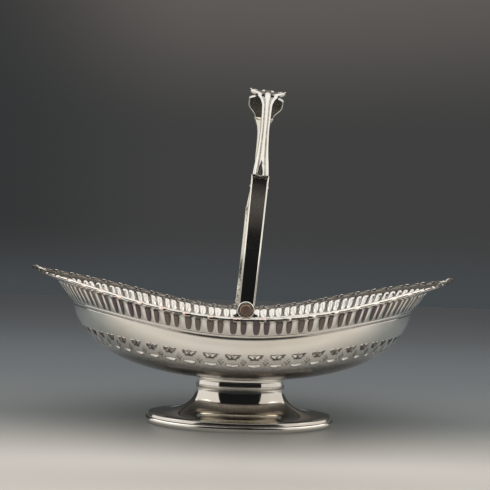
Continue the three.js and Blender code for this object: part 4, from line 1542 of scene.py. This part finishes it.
class NodeKit:
    """Adds and joins nodes in one tree."""

    def __init__(self, tree: bpy.types.NodeTree) -> None:
        """Takes the tree that the nodes go in."""
        self.tree = tree

    def add(self, kind: str, settings: dict | None = None, **inputs: object) -> bpy.types.Node:
        """Adds a node.

        Args:
            kind: the node's type.
            settings: properties to set on it.
            **inputs: values or sockets for its inputs, by name with underscores for spaces.

        Returns:
            The node.
        """
        node = self.tree.nodes.new(kind)
        for name, value in (settings or {}).items():
            setattr(node, name, value)
        for name, value in inputs.items():
            self.feed(node, name.replace("_", " "), value)
        return node

    def feed(self, node: bpy.types.Node, name: str | int, value: object) -> None:
        """Gives an input a value, or joins a socket to it."""
        if isinstance(value, bpy.types.NodeSocket):
            self.tree.links.new(value, node.inputs[name])
        else:
            node.inputs[name].default_value = value

    def math(self, operation: str, *values: object, clamp: bool = False) -> bpy.types.NodeSocket:
        """Returns the result of a Math node over values or sockets."""
        node = self.tree.nodes.new("ShaderNodeMath")
        node.operation = operation
        node.use_clamp = clamp
        for i, value in enumerate(values):
            self.feed(node, i, value)
        return node.outputs[0]

    def blend(self, share: object, first: object, second: object) -> bpy.types.NodeSocket:
        """Returns a colour between two others."""
        node = self.tree.nodes.new("ShaderNodeMix")
        node.data_type = "RGBA"
        self.feed(node, 0, share)
        self.feed(node, 6, first)
        self.feed(node, 7, second)
        return node.outputs[2]

    def ranged(self, value: object, low: float, high: float, to_low: float = 0.0,
               to_high: float = 1.0) -> bpy.types.NodeSocket:
        """Returns a value mapped softly from one range to another.

        Args:
            value: the value.
            low: where its range starts.
            high: where its range ends.
            to_low: result at the start.
            to_high: result at the end.

        Returns:
            The result's socket.
        """
        node = self.tree.nodes.new("ShaderNodeMapRange")
        node.interpolation_type = "SMOOTHSTEP"
        for i, part in enumerate((value, low, high, to_low, to_high)):
            self.feed(node, i, part)
        return node.outputs[0]


class GroupMaker:
    """Builds a shader node group with named sockets, once."""

    def __init__(self, name: str, inputs: dict[str, tuple[str, object]],
                 outputs: dict[str, str]) -> None:
        """Makes the group's sockets.

        Args:
            name: the group's name.
            inputs: for each input its kind and its usual value.
            outputs: for each output its kind.
        """
        self.tree = bpy.data.node_groups.new(name, "ShaderNodeTree")
        for label, (kind, value) in inputs.items():
            socket = self.tree.interface.new_socket(
                name=label, in_out="INPUT", socket_type=f"NodeSocket{kind}")
            socket.default_value = value
        for label, kind in outputs.items():
            self.tree.interface.new_socket(name=label, in_out="OUTPUT", socket_type=f"NodeSocket{kind}")
        self.kit = NodeKit(self.tree)
        self.source = self.tree.nodes.new("NodeGroupInput").outputs
        self.result = self.tree.nodes.new("NodeGroupOutput").inputs

    def give(self, label: str, socket: bpy.types.NodeSocket) -> None:
        """Joins a socket to one of the group's outputs."""
        self.tree.links.new(socket, self.result[label])


class Effects:
    """Node groups that more than one finish uses."""

    def __init__(self) -> None:
        """Builds each group once."""
        self.scratches = self._scratches()
        self.tarnish = self._tarnish()
        self.wear = self._wear()

    @staticmethod
    def _scratches() -> bpy.types.NodeTree:
        """Returns fine polishing lines in two directions."""
        group = GroupMaker(
            "Polishing lines",
            {"Vector": ("Vector", (0, 0, 0)), "Density": ("Float", 260.0),
             "Amount": ("Float", 0.5)},
            {"Height": "Float", "Mask": "Float"})
        kit, source = group.kit, group.source
        lines = []
        for squeeze, turn in (((1.0, 0.06, 1.0), 0.4), ((0.05, 1.0, 1.0), 1.1)):
            turned = kit.add("ShaderNodeMapping", Vector=source["Vector"],
                             Rotation=(turn, 0.3, turn), Scale=squeeze)
            noise = kit.add("ShaderNodeTexNoise", Vector=turned.outputs[0],
                            Scale=source["Density"], Detail=3.0, Roughness=0.7)
            lines.append(noise.outputs[0])
        both = kit.math("ADD", lines[0], lines[1])
        height = kit.math("MULTIPLY", kit.math("SUBTRACT", both, 1.0), source["Amount"])
        patches = kit.add("ShaderNodeTexNoise", Vector=source["Vector"], Scale=18.0, Detail=2.0)
        group.give("Height", height)
        group.give("Mask", kit.math(
            "MULTIPLY", kit.ranged(lines[0], 0.52, 0.72), patches.outputs[0], clamp=True))
        return group.tree

    @staticmethod
    def _tarnish() -> bpy.types.NodeTree:
        """Returns plate colour with warm patches, and painted shade with patina in the hollows."""
        group = GroupMaker(
            "Tarnish",
            {"Vector": ("Vector", (0, 0, 0)), "Plate": ("Color", (0.9, 0.88, 0.84, 1)),
             "Warm": ("Color", (0.8, 0.7, 0.5, 1)), "Dark": ("Color", (0.1, 0.08, 0.06, 1)),
             "Violet": ("Color", (0.1, 0.07, 0.1, 1)),
             "Patches": ("Float", 0.3), "Depth": ("Float", 0.6), "Hollow": ("Float", 0.0)},
            {"Color": "Color", "Mask": "Float"})
        kit, source = group.kit, group.source
        wide = kit.add("ShaderNodeTexNoise", Vector=source["Vector"], Scale=26.0, Detail=5.0,
                       Roughness=0.6)
        fine = kit.add("ShaderNodeTexNoise", Vector=source["Vector"], Scale=420.0, Detail=3.0)
        patch = kit.math("MULTIPLY", kit.ranged(wide.outputs[0], 0.42, 0.72), source["Patches"])
        # Painted shade from the Hollow input, broken by a fine noise like patina.
        broken = kit.ranged(kit.math("ADD", source["Hollow"], kit.math(
            "MULTIPLY", kit.math("SUBTRACT", fine.outputs[0], 0.5), 0.35)), 0.35, 0.95)
        dark = kit.math("MULTIPLY", broken, source["Depth"], clamp=True)
        colour = kit.blend(patch, source["Plate"], source["Warm"])
        slow = kit.add("ShaderNodeTexNoise", Vector=source["Vector"], Scale=21.0, Detail=2.0)
        tone = kit.blend(kit.ranged(slow.outputs[0], 0.5, 0.66), source["Dark"], source["Violet"])
        group.give("Color", kit.blend(dark, colour, tone))
        group.give("Mask", kit.math("MAXIMUM", patch, dark))
        return group.tree

    @staticmethod
    def _wear() -> bpy.types.NodeTree:
        """Returns a mask on rubbed edges, broken by a fine noise."""
        group = GroupMaker(
            "Edge wear",
            {"Vector": ("Vector", (0, 0, 0)), "Start": ("Float", 0.527), "Amount": ("Float", 0.5)},
            {"Mask": "Float"})
        kit, source = group.kit, group.source
        shape = kit.add("ShaderNodeNewGeometry")
        noise = kit.add("ShaderNodeTexNoise", Vector=source["Vector"], Scale=300.0, Detail=4.0)
        jitter = kit.math("MULTIPLY", kit.math("SUBTRACT", noise.outputs[0], 0.5), 0.05)
        edge = kit.math("SUBTRACT", kit.math("ADD", shape.outputs["Pointiness"], jitter),
                        source["Start"])
        group.give("Mask", kit.math("MULTIPLY", kit.math("MULTIPLY", edge, 16.0, clamp=True),
                                    source["Amount"]))
        return group.tree


def new_material(name: str) -> tuple[bpy.types.Material, NodeKit, bpy.types.Node]:
    """Starts a material, and returns it with a kit for its nodes and its shader."""
    made = bpy.data.materials.new(name)
    made.use_nodes = True
    return made, NodeKit(made.node_tree), made.node_tree.nodes["Principled BSDF"]


@dataclass(frozen=True)
class PlateFinish:
    """Polished or cast silver plate."""

    slot: Slot
    name: str
    plate: Colour
    warm: Colour = (0.72, 0.60, 0.42, 1.0)
    # dark and violet colour the painted shade and patina in the hollows.
    dark: Colour = (0.10, 0.08, 0.06, 1.0)
    violet: Colour = (0.12, 0.07, 0.09, 1.0)
    patches: float = 0.22  # how far the warm patches cover the plate
    depth: float = 0.95  # how dark the painted shade and patina in the hollows go
    roughness: float = 0.13
    worn_roughness: float = 0.2
    scratch: float = 0.5
    bump: float = 0.006
    ripple: float = 0.0  # millimetres of slow unevenness from hammering
    copper: Colour = (0.87, 0.64, 0.56, 1.0)

    def material(self, effects: Effects) -> bpy.types.Material:
        """Returns the finish as a material.

        Args:
            effects: the shared node groups.

        Returns:
            The material.
        """
        made, kit, shader = new_material(self.name)
        spot = kit.add("ShaderNodeTexCoord").outputs["Object"]
        # The hollow attribute carries the painted shade.
        hollow = kit.add("ShaderNodeAttribute", {"attribute_name": "hollow"}).outputs["Fac"]
        lines = kit.add("ShaderNodeGroup", {"node_tree": effects.scratches}, Vector=spot,
                        Density=900.0, Amount=self.scratch)
        tarnish = kit.add("ShaderNodeGroup", {"node_tree": effects.tarnish}, Vector=spot,
                          Plate=self.plate, Warm=self.warm, Dark=self.dark, Violet=self.violet,
                          Patches=self.patches, Depth=self.depth, Hollow=hollow)
        wear = kit.add("ShaderNodeGroup", {"node_tree": effects.wear}, Vector=spot, Amount=0.6)
        worn = kit.blend(wear.outputs["Mask"], tarnish.outputs["Color"], self.plate)
        rubbed = kit.add("ShaderNodeAttribute", {"attribute_name": "rubbed"}).outputs["Fac"]
        kit.feed(shader, "Base Color", kit.blend(rubbed, worn, self.copper))
        rough = kit.math("ADD", kit.math(
            "MULTIPLY", lines.outputs["Mask"], self.worn_roughness * 0.4), self.roughness)
        rough = kit.math("ADD", rough, kit.math(
            "MULTIPLY", tarnish.outputs["Mask"], self.worn_roughness), clamp=True)
        kit.feed(shader, "Roughness", rough)
        shader.inputs["Metallic"].default_value = 1.0
        height = lines.outputs["Height"]
        if self.ripple:
            slow = kit.add("ShaderNodeTexNoise", Vector=spot, Scale=34.0, Detail=1.0)
            height = kit.math("ADD", kit.math("MULTIPLY", height, self.bump), kit.math(
                "MULTIPLY", slow.outputs[0], self.ripple))
            strength = 1.0
        else:
            strength = self.bump
        bump = kit.add("ShaderNodeBump", Strength=strength, Distance=MM, Height=height)
        kit.feed(shader, "Normal", bump.outputs[0])
        return made


@dataclass(frozen=True)
class CopperFinish:
    """Copper where the plate is worn away, with a little plate left at the edge."""

    slot: Slot = Slot.COPPER
    name: str = "Worn copper"
    copper: Colour = (0.60, 0.43, 0.35, 1.0)
    dark: Colour = (0.22, 0.15, 0.11, 1.0)
    plate: Colour = (0.55, 0.47, 0.38, 1.0)

    def material(self, effects: Effects) -> bpy.types.Material:
        """Returns the finish as a material."""
        made, kit, shader = new_material(self.name)
        spot = kit.add("ShaderNodeTexCoord").outputs["Object"]
        tarnish = kit.add("ShaderNodeGroup", {"node_tree": effects.tarnish}, Vector=spot,
                          Plate=self.copper, Warm=self.dark, Dark=self.dark, Violet=self.dark,
                          Patches=0.8, Depth=0.3, Hollow=0.2)
        lines = kit.add("ShaderNodeGroup", {"node_tree": effects.scratches}, Vector=spot,
                        Density=700.0, Amount=1.0)
        wear = kit.add("ShaderNodeGroup", {"node_tree": effects.wear}, Vector=spot, Start=0.53,
                       Amount=0.8)
        kit.feed(shader, "Base Color", kit.blend(
            wear.outputs["Mask"], tarnish.outputs["Color"], self.plate))
        kit.feed(shader, "Roughness", kit.ranged(tarnish.outputs["Mask"], 0.0, 1.0, 0.42, 0.6))
        shader.inputs["Metallic"].default_value = 1.0
        bump = kit.add("ShaderNodeBump", Strength=0.2, Distance=MM, Height=lines.outputs["Height"])
        kit.feed(shader, "Normal", bump.outputs[0])
        return made


# The dark and violet colours below are the painted shade in each finish's hollows.
RAISED = PlateFinish(
    slot=Slot.POLISHED, name="Raised plate", plate=(0.88, 0.86, 0.81, 1.0),
    dark=(0.125, 0.10, 0.085, 1.0), violet=(0.085, 0.05, 0.065, 1.0), depth=0.93,
    worn_roughness=0.1, ripple=0.04)
POLISHED = PlateFinish(
    slot=Slot.POLISHED, name="Polished plate", plate=(0.88, 0.86, 0.80, 1.0), depth=0.6,
    roughness=0.055, worn_roughness=0.12, ripple=0.03)
CAST = PlateFinish(
    slot=Slot.CAST, name="Cast plate", plate=(0.88, 0.855, 0.79, 1.0),
    dark=(0.05, 0.045, 0.04, 1.0), violet=(0.055, 0.045, 0.045, 1.0), patches=0.25, scratch=0.6,
    bump=0.03)
COPPER = CopperFinish()


class Wardrobe:
    """Dresses pieces and ties them to the frame."""

    def __init__(self) -> None:
        """Builds the finishes."""
        effects = Effects()
        self.materials = {finish.name: finish.material(effects)
                          for finish in (RAISED, POLISHED, CAST, COPPER)}

    def dress(self, piece: Piece, finish: PlateFinish | CopperFinish, body: Body, *nodes: str) -> None:
        """Gives a piece its finish, its body and the nodes that it stands for.

        Args:
            piece: the piece.
            finish: its finish.
            body: the body that it rides on.
            *nodes: CAD nodes that it replaces.
        """
        piece.data.materials.clear()
        piece.data.materials.append(self.materials[finish.name])
        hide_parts(*nodes)
        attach(piece, body.value)
        LOG.info("%s: %d faces, rides on %s", piece.name, len(piece.data.polygons), body.value)


# Stage


@dataclass(frozen=True)
class Softbox:
    """A soft lamp, with its sizes in millimetres and its power in watts."""

    name: str
    place: tuple[float, float, float]
    aim: tuple[float, float, float]
    size: tuple[float, float]
    watts: float
    colour: tuple[float, float, float]

    def hang(self) -> None:
        """Adds the lamp to the scene."""
        data = bpy.data.lights.new(self.name, "AREA")
        data.shape = "RECTANGLE"
        data.size, data.size_y = self.size[0] * MM, self.size[1] * MM
        data.energy = self.watts
        data.color = self.colour
        lamp = bpy.data.objects.new(self.name, data)
        lamp.location = Vector(self.place) * MM
        heading = (Vector(self.aim) - Vector(self.place)).normalized()
        lamp.rotation_euler = heading.to_track_quat("-Z", "Y").to_euler()
        lamp.visible_camera = False
        bpy.context.scene.collection.objects.link(lamp)


DAYLIGHT = (1.0, 0.985, 0.96)
WARM_LIGHT = (1.0, 0.93, 0.87)
SOFTBOXES = (
    Softbox("overhead", (0, 35, 1200), (0, 35, 0), (4800, 1630), 22.2, DAYLIGHT),
    Softbox("front_left", (-1190, -1080, 1200), (-1190, -1080, 0), (2420, 600), 4.1, DAYLIGHT),
    Softbox("front_right", (1330, -1080, 1200), (1330, -1080, 0), (2140, 600), 3.6, DAYLIGHT),
    Softbox("left_box", (-861, -263, 330), (0, 0, 90), (1460, 760), 2.6, WARM_LIGHT),
    Softbox("right_box", (861, -263, 330), (0, 0, 90), (1460, 760), 2.25, WARM_LIGHT),
)


@dataclass
class Stage:
    """Floor, backdrop, lamps and camera, with angles in degrees."""

    camera_place: tuple[float, float, float] = (-8.53, -499.93, 105.0)
    yaw: float = 1.0
    pitch: float = 3.6
    roll: float = 1.86
    lens: float = 47.02
    sensor: float = 36.0
    floor_radius: float = 4000.0
    floor_front: float = -205.0  # where the floor turns dark in front, for what the metal shows: a painted dark reflection
    pale: Colour = (0.478, 0.452, 0.424, 1.0)  # the floor in front, where the painted pool of light is brightest
    palest: Colour = (0.65, 0.625, 0.59, 1.0)  # painted light just in front of the foot, against the bowl's shadow
    bands: tuple[tuple[float, float, Colour], ...] = (
        (-0.135, 0.03, (0.172, 0.188, 0.186, 1.0)),
        (-0.02, 0.3, (0.140, 0.155, 0.168, 1.0)),
        (0.1, 1.0, (0.106, 0.118, 0.127, 1.0)))  # Y in metres where each tone starts and is full; the tones paint the light's falloff
    dark_reflection: Colour = (0.015, 0.015, 0.015, 1.0)  # painted dark reflection past floor_front, seen only in reflections
    backdrop_low: Colour = (0.060, 0.068, 0.074, 1.0)
    backdrop: Colour = (0.050, 0.051, 0.050, 1.0)
    # The backdrop is painted lighter high up and darker on the left.
    backdrop_high: Colour = (0.125, 0.112, 0.105, 1.0)
    backdrop_left: Colour = (0.032, 0.034, 0.035, 1.0)
    # Painted dark reflection: what the metal mirrors behind the camera, while the fill still lights
    # from there.
    behind_camera: Colour = (0.008, 0.008, 0.009, 1.0)
    fill: Colour = (0.78, 0.77, 0.75, 1.0)  # soft light from all round

    def camera(self) -> None:
        """Places the camera at the photograph's viewing angle."""
        yaw, pitch, roll = (math.radians(v) for v in (self.yaw, self.pitch, self.roll))
        forward = Vector((math.sin(yaw) * math.cos(pitch), math.cos(yaw) * math.cos(pitch),
                          math.sin(pitch)))
        level = Vector((math.cos(yaw), -math.sin(yaw), 0.0))
        upright = level.cross(forward)
        right = level * math.cos(roll) + upright * math.sin(roll)
        up = upright * math.cos(roll) - level * math.sin(roll)
        turned = Matrix((right, up, -forward)).transposed().to_4x4()
        data = bpy.data.cameras.new("camera")
        data.lens = self.lens
        data.sensor_width = self.sensor
        data.clip_start = 0.01
        data.clip_end = 50.0
        camera = bpy.data.objects.new("camera", data)
        camera.matrix_world = Matrix.Translation(Vector(self.camera_place) * MM) @ turned
        bpy.context.scene.collection.objects.link(camera)
        bpy.context.scene.camera = camera

    def floor(self) -> None:
        """Lays a floor painted as a pool of light: pale in front, darker away from it."""
        skin = Skin()
        turn = turns(96)
        ring = np.column_stack([np.cos(turn), np.sin(turn), np.zeros_like(turn)])
        numbers = skin.add(np.stack([ring * r for r in (300.0, 1200.0, self.floor_radius)]))
        skin.grid(numbers)
        skin.cap(numbers[0])
        floor = skin.make("studio_floor", 30.0)
        made, kit, shader = new_material("Studio floor")
        spot = kit.add("ShaderNodeTexCoord").outputs["Object"]
        parts = kit.add("ShaderNodeSeparateXYZ", Vector=spot).outputs
        # Painted light in front of the foot, lifting the bowl's shadow.
        under = kit.math("MULTIPLY", kit.ranged(parts["Y"], -0.155, -0.105), kit.ranged(
            kit.math("ABSOLUTE", parts["X"]), 0.03, 0.22, 1.0, 0.0))
        colour = kit.blend(under, self.pale, self.palest)
        # Painted falloff of the light away from the front.
        for start, full, tone in self.bands:
            colour = kit.blend(kit.ranged(parts["Y"], start, full), colour, tone)
        # Painted dark reflection: past floor_front the floor shows near black in reflections only.
        glossy = kit.add("ShaderNodeLightPath").outputs["Is Glossy Ray"]
        beyond = kit.ranged(parts["Y"], self.floor_front * MM - 0.02, self.floor_front * MM, 1.0, 0.0)
        dark_in_reflection = kit.math("MULTIPLY", glossy, beyond)
        kit.feed(shader, "Base Color", kit.blend(dark_in_reflection, colour, self.dark_reflection))
        shader.inputs["Roughness"].default_value = 0.42
        shader.inputs["Specular IOR Level"].default_value = 0.35
        floor.data.materials.append(made)

    def world(self) -> None:
        """Sets the backdrop: painted grey tones, dark behind the camera in reflections only, and soft
        fill light.
        """
        world = bpy.data.worlds.new("studio")
        world.use_nodes = True
        bpy.context.scene.world = world
        tree = world.node_tree
        kit = NodeKit(tree)
        background = tree.nodes["Background"]
        spot = kit.add("ShaderNodeTexCoord").outputs["Generated"]
        parts = kit.add("ShaderNodeSeparateXYZ", Vector=spot).outputs
        up = kit.ranged(parts["Z"], -0.02, 0.10)
        high = kit.ranged(parts["Z"], 0.22, 0.48)
        # Painted light high on the backdrop and painted shade on its left.
        colour = kit.blend(up, self.backdrop_low, self.backdrop)
        colour = kit.blend(high, colour, self.backdrop_high)
        left = kit.math("MULTIPLY", up, kit.ranged(parts["X"], -0.40, -0.06, 0.9, 0.0))
        colour = kit.blend(left, colour, self.backdrop_left)
        path = kit.add("ShaderNodeLightPath").outputs
        # Painted dark reflection behind the camera, for reflections only.
        front = kit.math("MULTIPLY", path["Is Glossy Ray"],
                         kit.ranged(parts["Y"], -0.68, -0.5, 1.0, 0.0))
        colour = kit.blend(front, colour, self.behind_camera)
        seen = kit.math("MAXIMUM", path["Is Camera Ray"], kit.math(
            "MAXIMUM", path["Is Glossy Ray"], path["Is Transmission Ray"]))
        kit.feed(background, "Color", kit.blend(seen, self.fill, colour))
        background.inputs["Strength"].default_value = 1.0

    def build(self) -> None:
        """Sets the whole stage."""
        self.camera()
        self.floor()
        self.world()
        for softbox in SOFTBOXES:
            softbox.hang()
        bpy.context.scene.view_settings.view_transform = "Standard"


# Assembly


@dataclass
class Basket:
    """The whole object, built piece by piece around the frame."""

    wardrobe: Wardrobe
    form: BowlForm = BowlForm()
    bow: Bow = Bow()

    def build_bowl(self) -> None:
        """Builds the bowl and its border."""
        dress = self.wardrobe.dress
        dress(Bowl(self.form).build(), RAISED, Body.BASKET, "bowl_shell")
        border = Border(self.form)
        for side in Side:
            dress(border.run(side), CAST, Body.BASKET, f"border_{side.name.lower()}")
        for end in End:
            dress(border.leaf(end), CAST, Body.BASKET, f"border_tip_{end.name.lower()}")

    def build_foot(self) -> None:
        """Builds the foot."""
        foot = Foot(self.form)
        self.wardrobe.dress(foot.rim_wire(), RAISED, Body.BASKET, "foot_edge_wire")
        for piece, node in ((foot.bell(), "foot_stem"), (foot.waist_ring(), "neck_bead"),
                            (foot.collar(), "foot_neck")):
            self.wardrobe.dress(piece, POLISHED, Body.BASKET, node)

    def build_hinges(self) -> None:
        """Builds the ears, rivets and washers."""
        dress = self.wardrobe.dress
        for side in Side:
            hinge, name = Hinge(side), side.name.lower()
            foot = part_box(f"hinge_lug_{name}")[0][2] / MM
            dress(hinge.ear(foot), CAST, Body.BASKET, f"hinge_lug_{name}")
            dress(hinge.rivet(), COPPER, Body.BASKET, f"hinge_pin_{name}")
            dress(hinge.washer(), POLISHED, Body.BASKET, f"hinge_washer_{name}")

    def build_handle(self) -> None:
        """Builds the handle."""
        dress = self.wardrobe.dress
        for side in Side:
            name = side.name.lower()
            dress(Strap(self.bow, side).build(), POLISHED, Body.HANDLE, f"handle_leg_{name}")
            dress(Arm(self.bow, side).build(), CAST, Body.HANDLE, f"handle_stalk_{name}")
        dress(Grip(self.bow).build(), CAST, Body.HANDLE, "handle_grip")


def main() -> None:
    """Builds the basket and its stage."""
    logging.basicConfig(level=logging.INFO, format="%(name)s: %(message)s")
    basket = Basket(Wardrobe())
    basket.build_bowl()
    basket.build_foot()
    basket.build_hinges()
    basket.build_handle()
    Stage().build()


if __name__ == "__main__":
    main()
